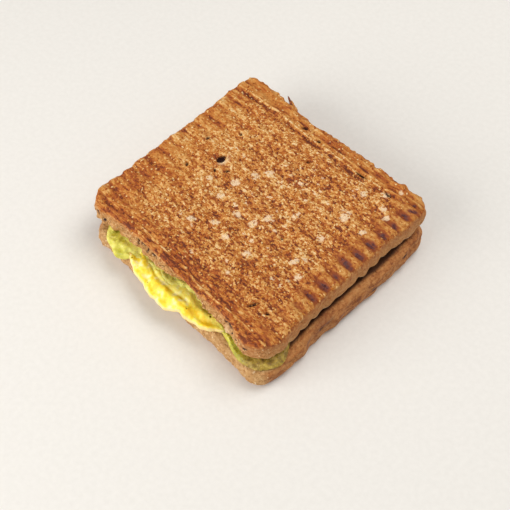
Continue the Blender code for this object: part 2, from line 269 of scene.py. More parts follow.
def blend_colour(tree, share, first, second, mode="MIX"):
    """first where share is 0, second where it is 1."""
    node = put(tree, "ShaderNodeMix", data_type="RGBA", blend_type=mode)
    for socket, value in ((node.inputs["Factor"], share), (node.inputs[6], first), (node.inputs[7], second)):
        if isinstance(value, bpy.types.NodeSocket):
            tree.links.new(value, socket)
        else:
            socket.default_value = value if isinstance(value, float) else (*value, 1.0)
    return node.outputs[2]


def surface(tree, shader, colour, roughness, specular=0.5):
    """Colour and roughness of a finish; a roughness that varies is linked, a plain one is set."""
    tree.links.new(colour, shader.inputs["Base Color"])
    if isinstance(roughness, float):
        shader.inputs["Roughness"].default_value = roughness
    else:
        tree.links.new(roughness, shader.inputs["Roughness"])
    shader.inputs["Specular IOR Level"].default_value = specular


def moist_inside(shader, weight, radius, scale_mm):
    """Let light soak in, as it does in soft food."""
    shader.inputs["Subsurface Weight"].default_value = weight
    shader.inputs["Subsurface Radius"].default_value = radius
    shader.inputs["Subsurface Scale"].default_value = scale_mm * MM


def bump(tree, shader, height, distance_mm, strength=1.0):
    """Tilt the shading by a height given in units of distance_mm."""
    node = put(tree, "ShaderNodeBump", {"Height": height, "Distance": distance_mm * MM, "Strength": strength})
    tree.links.new(node.outputs["Normal"], shader.inputs["Normal"])


def attribute(tree, name):
    """A number stored on the piece's points."""
    return put(tree, "ShaderNodeAttribute", attribute_name=name).outputs["Fac"]


print("material starters ready")

# %% [markdown]
# ## The slices' form
# Each slice is a square of bread with rounded corners, drawn in millimetres about the middle of the upper
# slice. A fine grid fills the ribbed face, and rings of points run from its border down over the crust to the
# cut face. Small smooth hills push the four sides in and out, as a real slice swells and dents. A grid was
# chosen over a remesh because its rows run along the press ribs, so the ribs come out clean.

# %% Curves for shaping
def hill(place, centre, width):
    """A smooth hill of height 1 over centre, fading out past width."""
    return np.exp(-((place - centre) / width) ** 2)


def ramp(value, start, end):
    """0 before start, 1 after end, with a soft change between."""
    share = np.clip((value - start) / (end - start), 0, 1)
    return share * share * (3 - 2 * share)


def smooth_run(stops, count):
    """count + 1 points on a smooth curve through stops, an array with one row a stop."""
    stops = np.asarray(stops, float)
    stops = np.vstack([2 * stops[:1] - stops[1:2], stops, 2 * stops[-1:] - stops[-2:-1]])
    spans = len(stops) - 3
    t = np.linspace(0, spans, count + 1)
    k = np.minimum(t.astype(int), spans - 1)
    f = (t - k)[:, None]
    p0, p1, p2, p3 = stops[k], stops[k + 1], stops[k + 2], stops[k + 3]
    return 0.5 * (2 * p1 + (p2 - p0) * f + (2 * p0 - 5 * p1 + 4 * p2 - p3) * f ** 2
                  + (3 * p1 - p0 - 3 * p2 + p3) * f ** 3)


print("a hill one width out is", round(float(hill(1.0, 0.0, 1.0)), 2))

# %% Sizes of the slices, in millimetres
RIB_PITCH = 7.9
UPPER = {
    "middle": (0.5, -0.9), "half": (60.0, 57.2), "radii": (10, 11, 6, 7), "base": 17.2, "top": 29.3,
    "rib_at": 10.9,
    "near": ((-30, 17, -2.8), (-8, 11, -2.2), (8, 8, -1.6), (29, 14, -2.6), (50, 8, 1.2)),
    "far": ((-15, 20, -2.6), (50, 14, 1.0)),
    "left": ((-48, 11, 0.9), (20, 16, -0.4)),
    "right": ((-46, 8, 0.5), (-22, 10, -0.6), (44, 11, 1.6)),
    "section": ((2.4, 0.00), (0.9, 0.09), (0.2, 0.30), (0.0, 0.62), (0.4, 0.93), (2.2, 1.00)),
}
LOWER = {
    "middle": (5.0, -2.9), "half": (60.2, 58.6), "radii": (9, 9.5, 10, 9), "base": 11.6, "top": 0.0,
    "rib_at": -1.0,
    "near": ((52, 11, 1.0), (-42, 10, -0.8), (5, 14, -0.6)),
    "far": ((-20, 18, -0.8), (30, 12, 0.6)),
    "left": ((-25, 14, 0.5), (28, 10, -0.6)),
    "right": ((28, 13, 1.3), (-18, 12, -0.8), (-48, 7, -0.6)),
    "section": ((2.6, 0.00), (1.0, 0.12), (0.1, 0.40), (0.2, 0.70), (1.5, 0.94), (3.6, 1.00)),
}


# %% Outline with rounded corners and uneven sides
SIDE_BAND = 0.72  # share of the half width past which a side's swells and dents are felt


def round_corners(x, y, half, radii):
    """Turn the corners of a rectangle full of points into arcs."""
    radius = np.where(y < 0, np.where(x < 0, radii[0], radii[1]), np.where(x < 0, radii[3], radii[2]))
    a = (np.abs(x) - half[0]) / radius + 1
    b = (np.abs(y) - half[1]) / radius + 1
    corner = (a > 0) & (b > 0)
    reach = np.where(corner, np.maximum(a, b), 1)
    turn = math.pi / 4 * np.where(corner, np.minimum(a, b), 0) / reach
    turn = np.where(b > a, math.pi / 2 - turn, turn)
    x_arc = np.sign(x) * (half[0] + radius * (reach * np.cos(turn) - 1))
    y_arc = np.sign(y) * (half[1] + radius * (reach * np.sin(turn) - 1))
    return np.where(corner, x_arc, x), np.where(corner, y_arc, y)


def side_shift(x, y, slab):
    """How far the swells and dents of the four sides move a point; they fade towards the middle."""
    half = slab["half"]

    def total(name, place):
        return sum(out * hill(place, at, width) for at, width, out in slab[name])

    near, far = ramp(-y / half[1], SIDE_BAND, 1.0), ramp(y / half[1], SIDE_BAND, 1.0)
    left, right = ramp(-x / half[0], SIDE_BAND, 1.0), ramp(x / half[0], SIDE_BAND, 1.0)
    dx = right * total("right", y) - left * total("left", y)
    return dx, far * total("far", x) - near * total("near", x)


def border_of(rows, columns):
    """Row and column numbers of a grid's outer points, anticlockwise from its first corner."""
    i = np.concatenate([np.zeros(columns - 1), np.arange(rows - 1), np.full(columns - 1, rows - 1),
                        np.arange(rows - 1, 0, -1)]).astype(int)
    j = np.concatenate([np.arange(columns - 1), np.full(rows - 1, columns - 1),
                        np.arange(columns - 1, 0, -1), np.zeros(rows - 1)]).astype(int)
    return i, j


def outward(x, y):
    """Unit vectors that point out of a closed anticlockwise loop, smoothed over a few points."""
    run_x, run_y = np.roll(x, -3) - np.roll(x, 3), np.roll(y, -3) - np.roll(y, 3)
    length = np.hypot(run_x, run_y)
    return run_y / length, -run_x / length


print("upper slice", [2 * h for h in UPPER["half"]], "lower slice", [2 * h for h in LOWER["half"]])


# %% A slice's points and faces
def slice_form(slab, cell, rings, crust_shift, inner=()):
    """Points, faces and per-point numbers of a slice, before any relief.

    inner holds further rings on the cut face, as insets past the end of the crust section.
    """
    inset = slab["section"][0][0]
    half = (slab["half"][0] - inset, slab["half"][1] - inset)
    columns, rows = round(2 * half[0] / cell) + 1, round(2 * half[1] / cell) + 1
    flat_x, flat_y = np.meshgrid(np.linspace(-half[0], half[0], columns),
                                 np.linspace(-half[1], half[1], rows))
    x, y = round_corners(flat_x, flat_y, half, [r - inset / 2 for r in slab["radii"]])
    dx, dy = side_shift(x, y, {**slab, "half": half})
    x, y = x + dx + slab["middle"][0], y + dy + slab["middle"][1]
    row = flat_y + slab["middle"][1]
    thick = abs(slab["top"] - slab["base"])
    down = math.copysign(1.0, slab["base"] - slab["top"])

    def dome(px, py):
        u, v = (px - slab["middle"][0]) / slab["half"][0], (py - slab["middle"][1]) / slab["half"][1]
        return slab.get("dome", 0.0) * (np.abs(u) ** 4 + np.abs(v) ** 4)

    _, rise = crust_shift(x, y, row, 0.0)
    z = slab["top"] + down * dome(x, y) + rise
    points = [np.stack([x, y, z], -1).reshape(-1, 3)]
    record = {"row": [row.ravel()], "share": [np.zeros(row.size)]}
    quads = np.arange(rows * columns).reshape(rows, columns)
    faces = [np.stack([quads[:-1, :-1], quads[:-1, 1:], quads[1:, 1:], quads[1:, :-1]], -1).reshape(-1, 4)]

    i, j = border_of(rows, columns)
    edge_x, edge_y, edge_row, ring = x[i, j], y[i, j], row[i, j], quads[i, j]
    nx, ny = outward(edge_x, edge_y)
    section = smooth_run(slab["section"], rings)[1:]
    stages = [(a, min(b, 1.0), 0) for a, b in section] + [(slab["section"][-1][0] + more, 1.0, more)
                                                          for more in inner]
    count = len(points[0])
    for ring_inset, share, more in stages:
        outwards, upwards = crust_shift(edge_x, edge_y, edge_row, share)
        calm = 1 - ramp(more, 0, 6)
        lip = slab.get("lip", 0.0) * ramp(share, 0.7, 1.0) * calm
        reach = inset - ring_inset + outwards * calm
        px, py = edge_x + nx * reach, edge_y + ny * reach
        fade = 1 - ramp(share, 0.0, 0.25)
        pz = slab["top"] + down * (share * thick + dome(edge_x, edge_y) * fade + lip) + upwards * calm
        points.append(np.stack([px, py, pz], -1))
        record["row"].append(edge_row)
        record["share"].append(np.full(len(edge_row), share + (more > 0) * more))
        after = np.arange(count, count + len(ring))
        faces.append(np.stack([ring, after, np.roll(after, -1), np.roll(ring, -1)], -1))
        ring = after
        count += len(ring)
    points = np.vstack(points)
    numbers = {name: np.concatenate(parts) for name, parts in record.items()}
    quads = np.vstack(faces)
    if down < 0:
        return points, quads, [tuple(int(k) for k in ring[::-1])], numbers
    return points, quads[:, ::-1], [tuple(int(k) for k in ring)], numbers


PINCH_AT, PINCH_WIDTH = 8.0, 9.0
PINCH_IN, PINCH_UP, PINCH_DIP = 3.6, 2.6, 1.2
SCALLOP_OUT, SCALLOP_DOWN = 0.35, 1.1


def upper_crust(x, y, row, share):
    """The upper crust's own shifts: pinched up over the egg, scalloped where the ribs meet the +X side."""
    pinch = ramp(-y, 35, 50) * hill(x, PINCH_AT, PINCH_WIDTH)
    outwards = -PINCH_IN * pinch * ramp(share, 0.0, 0.7)
    upwards = PINCH_UP * pinch * ramp(share, 0.2, 1.0) - PINCH_DIP * pinch * (1 - ramp(share, 0.0, 0.3))
    rib_wave = np.abs(np.cos(math.pi * (row - UPPER["rib_at"]) / RIB_PITCH))
    scallop = (rib_wave - 0.4) * (1 + 0.5 * np.sin(y / 9))
    on_right = ramp(x, 50, 58)
    outwards = outwards + SCALLOP_OUT * on_right * scallop * ramp(share, 0.15, 0.8)
    upwards = upwards - SCALLOP_DOWN * on_right * scallop * ramp(share, 0.5, 1.0)
    ragged = 0.3 * np.sin((x - y) / 3.1) + 0.25 * np.sin((x - y) / 7.3 + 1.2) + 0.18 * np.sin((x + y) / 1.7)
    return outwards + ragged * share * (1 - share) * 4, upwards


def lower_crust(x, y, row, share):
    """The lower crust's shifts: a gently uneven belly."""
    ragged = 0.3 * np.sin((x - y) / 3.7) + 0.3 * np.sin((x - y) / 9.1 + 0.7) + 0.15 * np.sin((x + y) / 1.9)
    return ragged * share * (1 - share) * 4, 0.0 * x


UPPER_CELL, UPPER_RINGS, UPPER_INNER = 0.52, 26, (1.2, 4.0, 9.0)
LOWER_CELL, LOWER_RINGS = 0.9, 22
LOWER_INNER = (0.6, 1.2, 1.9, 2.7, 3.6, 4.6, 5.7, 7.0, 8.5, 10.5)
UPPER.update(dome=0.7, lip=0.8)
upper_points, upper_quads, upper_cap, upper_numbers = slice_form(
    UPPER, UPPER_CELL, UPPER_RINGS, upper_crust, UPPER_INNER)
lower_points, lower_quads, lower_cap, lower_numbers = slice_form(
    LOWER, LOWER_CELL, LOWER_RINGS, lower_crust, LOWER_INNER)

# The drawing is moved onto the CAD model by matching the upper slice's box with its node's box
node_low, node_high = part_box("bread_top")
SHIFT = np.array([(node_low[a] + node_high[a]) / 2 / MM for a in range(2)] + [0.0])
SHIFT[:2] -= (upper_points[:, :2].min(0) + upper_points[:, :2].max(0)) / 2
print("drawing moved by", SHIFT.round(2), "mm")
print("upper quads", len(upper_quads), "lower quads", len(lower_quads))

# %% [markdown]
# ## Floor
# A flat sheet of matt off-white paper, wide enough that its edge stays out of the main view. From low angles
# it ends in a far horizon.

# %% Floor
FLOOR_REACH = 3.0  # metres from the sandwich to each side


def make_floor():
    material, tree, shader, in_mm = start_material("backdrop paper")
    shade = noise(tree, in_mm, 0.4, 2.0).outputs["Fac"]
    paper = colours(tree, shade, [(0.3, (0.755, 0.735, 0.70)), (0.7, (0.785, 0.765, 0.73))])
    surface(tree, shader, paper, 0.9)
    mesh = bpy.data.meshes.new("floor")
    corners = [(FLOOR_REACH * a, FLOOR_REACH * b, 0) for a, b in ((-1, -1), (1, -1), (1, 1), (-1, 1))]
    mesh.from_pydata(corners, [], [(0, 1, 2, 3)])
    mesh.materials.append(material)
    floor = bpy.data.objects.new("floor", mesh)
    bpy.context.scene.collection.objects.link(floor)
    return floor


make_floor()
print("floor laid at height 0")

# %% [markdown]
# ## Relief by Geometry Nodes
# The press leaves grooves at an even pitch, and the crumb swells between them. That is a rule, so a Geometry
# Nodes tree carves it: each point knows its row across the slice, and the distance from its row to the
# nearest groove sets how deep it goes. The same tree adds crumbs and open pores. Sculpting could do it too,
# but here the pitch and the depth stay numbers that can be changed.

# %% Relief tree
GROOVE_FLOOR, GROOVE_BROW = 0.9, 2.1


def named(tree, name):
    """A number that the mesh already carries on its points."""
    node = put(tree, "GeometryNodeInputNamedAttribute", {"Name": name}, data_type="FLOAT")
    return node.outputs["Attribute"]


def store(tree, shape, name, value, domain="POINT"):
    """Leave a number on the points or the instances under a name."""
    return put(tree, "GeometryNodeStoreNamedAttribute", {"Geometry": shape, "Name": name, "Value": value},
               data_type="FLOAT", domain=domain).outputs[0]


def end_tree(tree, shape, finish, out):
    """Make instances real, give everything its material, and put it out."""
    shape = put(tree, "GeometryNodeRealizeInstances", {"Geometry": shape}).outputs[0]
    shape = put(tree, "GeometryNodeSetMaterial", {"Geometry": shape, "Material": finish}).outputs[0]
    tree.links.new(shape, out)
    return tree


def make_relief_tree():
    tree, given, result = new_tree(
        "pressed crumb relief", "GeometryNodeTree",
        [("Slice", SHAPE), ("Rib pitch", FLOAT, RIB_PITCH), ("Rib place", FLOAT, 0.0),
         ("Rib depth", FLOAT, 0.9), ("Crumbs per mm", FLOAT, 0.8), ("Crumb height", FLOAT, 0.2),
         ("Pores per mm", FLOAT, 0.3), ("Pore depth", FLOAT, 0.6), ("Seed", FLOAT, 1.0),
         ("Finish", "NodeSocketMaterial")],
        [("Slice", SHAPE)])
    wants = given.outputs
    seed = wants["Seed"]
    place = scaled(tree, put(tree, "GeometryNodeInputPosition").outputs[0], 1 / MM)
    wander = noise(tree, place, 0.09, 2.0, seed=seed).outputs[0]
    row = calc(tree, "ADD", named(tree, "row"), spread(tree, wander, 0.3, 0.7, -0.5, 0.5))
    from_groove = calc(tree, "PINGPONG", calc(tree, "SUBTRACT", row, wants["Rib place"]),
                       calc(tree, "MULTIPLY", wants["Rib pitch"], 0.5))
    groove = calc(tree, "MULTIPLY", spread(tree, from_groove, GROOVE_FLOOR, GROOVE_BROW, 1.0, 0.0, True),
                  named(tree, "pressed"))
    crumbs = noise(tree, place, wants["Crumbs per mm"], 2.0, 0.6, seed).outputs[0]
    pores = put(tree, "ShaderNodeTexVoronoi", {"Vector": place, "W": seed, "Scale": wants["Pores per mm"]},
                voronoi_dimensions="4D").outputs["Distance"]
    pore = calc(tree, "MULTIPLY", spread(tree, pores, 0.12, 0.30, 1.0, 0.0, True), named(tree, "porous"))
    crumb_rise = calc(tree, "MULTIPLY", calc(tree, "SUBTRACT", crumbs, 0.5), wants["Crumb height"])
    crumb_rise = calc(tree, "MULTIPLY", calc(tree, "MULTIPLY", crumb_rise, 2.0), named(tree, "crumbly"))
    rise = calc(tree, "SUBTRACT", crumb_rise, calc(tree, "MULTIPLY", pore, wants["Pore depth"]))
    rise = calc(tree, "SUBTRACT", rise, calc(tree, "MULTIPLY", groove, wants["Rib depth"]))
    along_normal = put(tree, "GeometryNodeInputNormal").outputs[0]
    offset = scaled(tree, along_normal, calc(tree, "MULTIPLY", rise, MM))
    shape = store(tree, wants["Slice"], "groove", groove)
    shape = put(tree, "GeometryNodeSetPosition", {"Geometry": shape, "Offset": offset}).outputs[0]
    return end_tree(tree, shape, wants["Finish"], result.inputs["Slice"])


RELIEF = make_relief_tree()
print("relief inputs", [s.name for s in RELIEF.interface.items_tree if s.in_out == "INPUT"][1:])


# %% From points to an object, and from a tree to a plain mesh
def make_piece(name, points_mm, faces, numbers=None):
    """A smooth mesh object from points in millimetres, moved from the drawing onto the CAD model."""
    mesh = bpy.data.meshes.new(name)
    places = (np.asarray(points_mm) + SHIFT) * MM
    mesh.from_pydata([], [], [])
    mesh.from_pydata(places.tolist(), [], faces)
    for label, values in (numbers or {}).items():
        layer = mesh.attributes.new(label, "FLOAT", "POINT")
        layer.data.foreach_set("value", np.asarray(values, np.float32))
    mesh.shade_smooth()
    made = bpy.data.objects.new(name, mesh)
    bpy.context.scene.collection.objects.link(made)
    return made


def run_tree(piece, tree, values):
    """Run a Geometry Nodes tree on a piece and keep its result as the piece's plain mesh."""
    modifier = piece.modifiers.new(tree.name, "NODES")
    modifier.node_group = tree
    sockets = {s.name: s.identifier for s in tree.interface.items_tree if s.in_out == "INPUT"}
    for name, value in values.items():
        modifier[sockets[name]] = value
    graph = bpy.context.evaluated_depsgraph_get()
    mesh = bpy.data.meshes.new_from_object(piece.evaluated_get(graph), preserve_all_data_layers=True,
                                           depsgraph=graph)
    old = piece.data
    piece.modifiers.remove(modifier)
    piece.data = mesh
    mesh.name = piece.name
    bpy.data.meshes.remove(old)
    mesh.shade_smooth()
    return piece


def ripples(x, y, size, seed, count=28):
    """A smooth random field of about -1 to 1, with swells about size across."""
    random = np.random.default_rng(seed)
    total = np.zeros_like(x, dtype=float)
    for turn, phase, stretch in zip(random.uniform(0, math.tau, count), random.uniform(0, math.tau, count),
                                    random.uniform(0.7, 1.5, count)):
        along = (x * math.cos(turn) + y * math.sin(turn)) * math.tau / (2 * size) * stretch
        total += np.cos(along + phase)
    return total / math.sqrt(count)


def spot(x, y, place, long, wide, turn=0.0):
    """An oval hill of height 1; long and wide are its half sizes, turn is in degrees."""
    c, s = math.cos(math.radians(turn)), math.sin(math.radians(turn))
    dx, dy = x - place[0], y - place[1]
    return np.exp(-(((dx * c + dy * s) / long) ** 2 + ((dy * c - dx * s) / wide) ** 2))


def press_hollows(push, u, v, places):
    """Take hollows out of a side's push. Each is (u, v, long, tall, depth). Also gives how strongly each
    hollow is painted with shade.
    """
    hollow_shade = np.zeros_like(u)
    for pu, pv, long, tall, depth in places:
        hollow = spot(u, v, (pu, pv), long, tall)
        push = push - depth * hollow
        hollow_shade = np.maximum(hollow_shade, hollow)
    return push, hollow_shade


print("spot half a size out", round(float(spot(0.5, 0.0, (0, 0), 1, 1)), 2))

# %% [markdown]
# ## The upper slice
# This slice shows most. Its top carries grain all over, faint grooves in the middle, and dark scorched
# grooves where the press bit into the right-hand rim. A pale crease runs inside the near and far edges,
# where the crumb meets the crust. The near side is open crumb with pits; the right side is a smooth crust
# with a scalloped lower lip. Masks on the points carry all of this, so that shape and colour agree.

# %% Masks of the upper slice
PALE_CRUMBS = ((-6, 14.6), (9, 21), (-14, -1.3), (11.8, -5), (-13.8, -11.6), (-0.4, -13.3), (8.7, -11.9),
               (18.4, -25.8), (5, -26.3), (-4.3, -24), (-14, -30.4), (37, 4.8), (37, 21.4), (34.6, 38),
               (42, 45), (46.8, 38), (51, 35), (48.4, 21), (37, -13), (44, -18), (-25, -8), (20, 5.3),
               (-10.4, 8.7))
SMALL_PALE_CRUMBS = 64
SMALL_PITS = ((-43.8, 8.7, 1.0), (-39.3, -9.7, 0.9), (-13.8, 47.6, 1.1), (-22, 1, 0.9), (47, -41, 0.9),
              (-33.5, 22, 0.8), (-27, -2.5, 0.9), (2, 33, 0.7), (24, -8, 0.7))
HOLE = (-29.5, 4.5)
CRACKS = ((26, 45.6, 3.4, 0.7, 4), (39.5, -42, 2.6, 0.6, 60), (43, 46, 1.6, 0.6, 0), (-3, 46.5, 1.0, 0.8, 0))
RED_STREAKS = ((-0.4, -52.2, 6.5, 1.3, 0), (-6, -42.6, 6.0, 0.8, -4), (-34, -50.5, 9.0, 0.9, 0),
               (20, -47, 4.0, 0.8, 3), (-46, -46.5, 6.0, 0.8, -3), (30, -55, 5.0, 1.3, 8),
               (-20, -46, 7, 0.8, 2), (-47, -34, 8, 1.0, 0), (-51, -12, 6, 0.9, 0), (-51, 19, 6, 1.0, 0),
               (-51, 35, 6, 1.0, 0), (16, 47, 7, 1.0, 2), (-30, 47, 7, 0.9, 0), (-6, 43, 8, 0.8, 0),
               (-53, 4, 5, 1.3, 0), (-53, 11.5, 4, 1.2, 0), (-53, 27, 5, 1.3, 0), (-52, -21, 4, 1.2, 0))
RIB_MARKS = ((56.4, 42.5, 2.4, 1.5, 1.0), (56.5, 34.9, 2.0, 1.2, 1.0), (56.3, 26.7, 2.6, 1.7, 1.0),
             (56.0, 18.8, 2.9, 2.0, 1.0), (55.6, 10.9, 3.3, 1.7, 1.0), (54.6, 3.2, 4.3, 1.6, 1.0),
             (55.6, -4.9, 2.2, 1.4, 0.75), (55.4, -12.8, 3.0, 1.9, 0.95), (54.6, -21.0, 3.8, 1.5, 0.85),
             (54.0, -28.8, 3.0, 1.0, 0.35), (54.0, -37.0, 2.6, 0.9, 0.25))


def near_crease(x):
    """Where the pale crease runs inside the near edge."""
    return -50.4 - 2.0 * ramp(x, 2, 15) + 0.35 * np.sin(x / 5.0)


def far_crease(x):
    """Where the pale crease runs inside the far edge."""
    return 44.6 + 4.6 * ramp(x, 18, 58) + 0.45 * np.sin(x / 6.3)


def spots(x, y, places):
    """The highest of many oval hills, each (x, y, long, wide, turn)."""
    total = np.zeros_like(x)
    for px, py, long, wide, turn in places:
        total = np.maximum(total, spot(x, y, (px, py), long, wide, turn))
    return total


def upper_masks(points, numbers):
    """What each point of the upper slice is: scorched, pale, pitted, pressed, crumbly or side."""
    x, y, _ = points.T
    share = numbers["share"]
    on_top = 1 - ramp(share, 0.02, 0.2)
    random = np.random.default_rng(31)
    scorch, halo = np.zeros_like(x), np.zeros_like(x)
    for px, py, long, wide, strength in RIB_MARKS:
        turn = random.uniform(-6, 6)
        scorch = np.maximum(scorch, strength * spot(x, y, (px, py), 1.15 * long, 1.1 * wide, turn))
        halo = np.maximum(halo, strength * spot(x, y, (px - 1.5, py), long * 1.9, wide * 1.7, turn))
    scorch = np.maximum(scorch, spots(x, y, ((57.6, 47.2, 3.0, 1.4, 35), (55.4, 50.6, 1.8, 0.8, 0))))
    fray = 0.7 * ripples(x / 3, y, 0.8, 77) + 0.5 * ripples(x, y, 1.3, 78)
    scorch = np.clip(scorch * (1 + 0.42 * fray), 0, 1)
    inside_near, past_far = near_crease(x) - y, y - far_crease(x)
    near_band = ramp(inside_near, 0.5, 1.4) * (1 - 0.75 * ramp(inside_near, 4.0, 7.5))
    far_band = ramp(past_far, 0.4, 1.5) * on_top
    valley = hill(past_far, -1.2, 1.0) * on_top * np.clip(0.7 + 0.5 * ripples(x, 0 * y, 9, 4), 0, 1)
    outer_valley = 0.8 * hill(past_far, 4.4, 0.6) * on_top * np.clip(ripples(x, 0 * y, 7, 3), 0, 1)
    valley = np.maximum(valley, outer_valley)
    lines = np.maximum(hill(past_far, 0.5, 0.5), 0.8 * hill(past_far, 3.0, 0.45) * ramp(x, -20, 5))
    crease = np.maximum(hill(inside_near, 0.0, 0.45), lines) * on_top
    crease = crease * np.clip(0.85 + 0.35 * ripples(x, 0 * y, 5, 8), 0, 1)
    reddish = np.maximum(0.85 * spots(x, y, RED_STREAKS), 0.6 * near_band)
    reddish = np.maximum(reddish * (0.8 + 0.3 * ripples(x / 4, y, 1.6, 9)), 0.75 * halo)
    pale = np.zeros_like(x)
    for px, py in PALE_CRUMBS:
        size = random.uniform(1.9, 2.8)
        shape = spot(x, y, (px, py), size, size * random.uniform(0.65, 0.9), random.uniform(0, 90))
        pale = np.maximum(pale, shape * random.uniform(0.75, 1.0))
    for _ in range(SMALL_PALE_CRUMBS):
        place, size = random.normal((14, 0), (19, 22)), random.uniform(0.7, 1.4)
        shape = spot(x, y, place, size * 1.3, size * random.uniform(0.6, 0.9), random.uniform(-60, 60))
        pale = np.maximum(pale, shape * random.uniform(0.45, 0.85))
    pale = np.clip(pale * (1 + 0.25 * ripples(x, y, 1.2, 12)), 0, 1)
    pit = np.clip(2.2 * spot(x, y, HOLE, 2.7, 1.9, 78) - 0.6, 0, 1)
    ring = spot(x, y, (HOLE[0] + 1.0, HOLE[1] - 0.2), 3.2, 2.5, 78)
    hole_rim = np.clip(2.2 * ring - 2.4 * pit - 0.3, 0, 1) * ramp(x - HOLE[0], 0, 1.5)
    for px, py, size in SMALL_PITS:
        pit = np.maximum(pit, 0.75 * spot(x, y, (px, py), size * 1.3, size * 0.8, random.uniform(0, 180)))
    pit = np.maximum(pit, 0.9 * spots(x, y, CRACKS))
    uneven = 2.5 * ripples(x, y, 9, 51)
    fibrous = np.maximum(1 - ramp(y + 58.1 + uneven, 8, 15), 1 - ramp(56.3 - y + uneven, 7, 13))
    fibrous = np.maximum(fibrous, 0.75 * (1 - ramp(x + 59.5 + uneven, 7, 20)))
    near_side = ramp(-y, 48, 53) * ramp(share, 0.06, 0.42) * (1 - 0.7 * ramp(x, 44, 52))
    right_side = ramp(x, 50, 58) * ramp(share, 0.05, 0.45) * (1 - near_side)
    pressed = 0.32 + 0.68 * ramp(x, 47, 55) * (0.3 + 0.7 * ramp(y, -34, -16)) + 0.10 * ramp(-x, 34, 50)
    pressed = pressed * (1 - ramp(share, 0.1, 0.4))
    golden = ramp(x + 1.5 * ripples(x, y, 6, 52), 45, 53) * on_top * (1 - 0.6 * ramp(-y, 26, 44))
    grainy = on_top * (1 - 0.7 * golden) * (1 - 0.6 * fibrous) * (1 - pit) * (1 - scorch)
    return {
        "grainy": grainy, "even": ramp(-x, 16, 46),
        "toasting": 0.9 * ramp(-y, 8, 40) - 0.9 * ramp(-x, 4, 40) + 0.4 * ramp(x, 22, 50),
        "scorch": scorch * on_top, "reddish": np.clip(reddish, 0, 1) * on_top,
        "valley": valley, "crease": crease, "far_band": far_band, "fibrous": fibrous * on_top,
        "pale": pale * on_top, "hole_rim": hole_rim * on_top, "pit": pit * on_top, "golden": golden,
        "near_side": near_side, "right_side": right_side, "pressed": pressed,
        "porous": 0.12 * on_top + 0.9 * near_side + 0.15 * right_side,
        "crumbly": (1 - 0.5 * right_side + 0.5 * near_side) * (1 - 0.5 * golden),
    }


upper_numbers.update(upper_masks(upper_points, upper_numbers))
print("masks", sorted(upper_numbers))

# %% Carve the upper slice's own marks
PIT_DEPTH, VALLEY_DEPTH, SCORCH_DEPTH, BAND_DEPTH = 3.6, 0.8, 0.25, 0.3
CREASE_RISE, PALE_RISE = 0.35, 0.22
WALL_PITS = ((-51.0, 23.5, 1.5, 1.7, 2.2), (-47.5, 21.5, 1.5, 1.2, 1.8), (-24.6, 23.6, 1.0, 2.6, 2.4),
             (-17.6, 24.6, 0.9, 2.2, 1.9), (-20.6, 26.0, 2.2, 0.8, 1.5), (-13.4, 24.6, 1.9, 1.2, 2.0),
             (-8.0, 23.0, 2.0, 0.8, 1.5), (-3.5, 24.6, 1.7, 0.8, 1.3), (-34.0, 22.6, 1.9, 0.8, 1.3),
             (44.5, 22.5, 1.1, 0.9, 1.0), (50.5, 23.5, 1.2, 0.8, 0.9), (37.8, 26.2, 3.0, 0.8, 1.5),
             (41.6, 23.4, 0.7, 1.6, 1.2))
PALE_LUMP = (38.2, 22.8, 2.3, 2.0, 2.0)
WALL_LUMPS = ((-21.0, 23.4, 1.9, 1.8, 1.2), (-11.5, 22.0, 2.2, 1.5, 0.7), (-29.0, 22.2, 2.6, 1.5, 0.5),
              (-40.0, 22.0, 2.5, 1.5, 0.5), PALE_LUMP)


def carve_upper(points, numbers):
    """Push the pits in, raise the creases, sink the far valley and roughen the sides."""
    x, y, z = points.T.copy()
    share = numbers["share"]
    on_top = 1 - ramp(share, 0, 0.2)
    outer = 1 - ramp(share, 1.0, 1.6)
    z = z - PIT_DEPTH * numbers["pit"] ** 1.2 - VALLEY_DEPTH * numbers["valley"]
    z = z + CREASE_RISE * numbers["crease"]
    z = z + PALE_RISE * numbers["pale"]
    z = z + 0.22 * ripples(x, y, 7, 11) * on_top - SCORCH_DEPTH * numbers["scorch"]
    z = z - BAND_DEPTH * numbers["far_band"] * (1 + ripples(x / 2, y, 2.2, 21))
    z = z + 0.16 * numbers["fibrous"] * ripples(x / 5, y, 1.1, 22)
    side = numbers["near_side"] * outer
    push = 0.45 * ripples(x, z, 3.2, 5) + 0.25 * ripples(x, z, 1.5, 6)
    push, hollow_shade = press_hollows(push, x, z, WALL_PITS)
    for px, pz, long, tall, height in WALL_LUMPS:
        push = push + height * spot(x, z, (px, pz), long, tall)
    y = y - push * side
    far_side = ramp(y, 50, 56) * outer * (1 - 0.6 * ramp(share, 0.3, 0.8))
    y = y + far_side * (0.55 * ripples(x, 0 * y, 4.2, 24) + 0.3 * ripples(x, z, 1.8, 25) - 0.1)
    z = z + far_side * 0.35 * ripples(x, y, 2.6, 27)
    x = x - ramp(-x, 54, 58) * outer * (0.3 * ripples(y, z, 2.6, 26) - 0.25)
    corner_dent = 1.5 * spot(y, z, (-32, 25.5), 1.3, 0.7)
    x = x + numbers["right_side"] * outer * (0.2 * ripples(y, z, 4.0, 15) - corner_dent)
    on_wall = ramp(-y, 46, 50) * ramp(share, 0.04, 0.18) * outer
    pale_lump = spot(x, z, PALE_LUMP[:2], PALE_LUMP[2], PALE_LUMP[3]) * on_wall
    numbers["hole_rim"] = np.maximum(numbers["hole_rim"], 0.85 * pale_lump)
    # The wall hollows join the pit mask, which paints shade into them.
    numbers["pit"] = np.maximum(numbers["pit"], hollow_shade * on_wall)
    numbers["rim_line"] = hill(share, 0.97, 0.07) * numbers["right_side"]
    return np.stack([x, y, z], -1)


upper_points = carve_upper(upper_points, upper_numbers)
deepest = upper_points[upper_numbers["share"] == 0][:, 2].min()
print("deepest point of the top", round(float(deepest), 1), "mm")

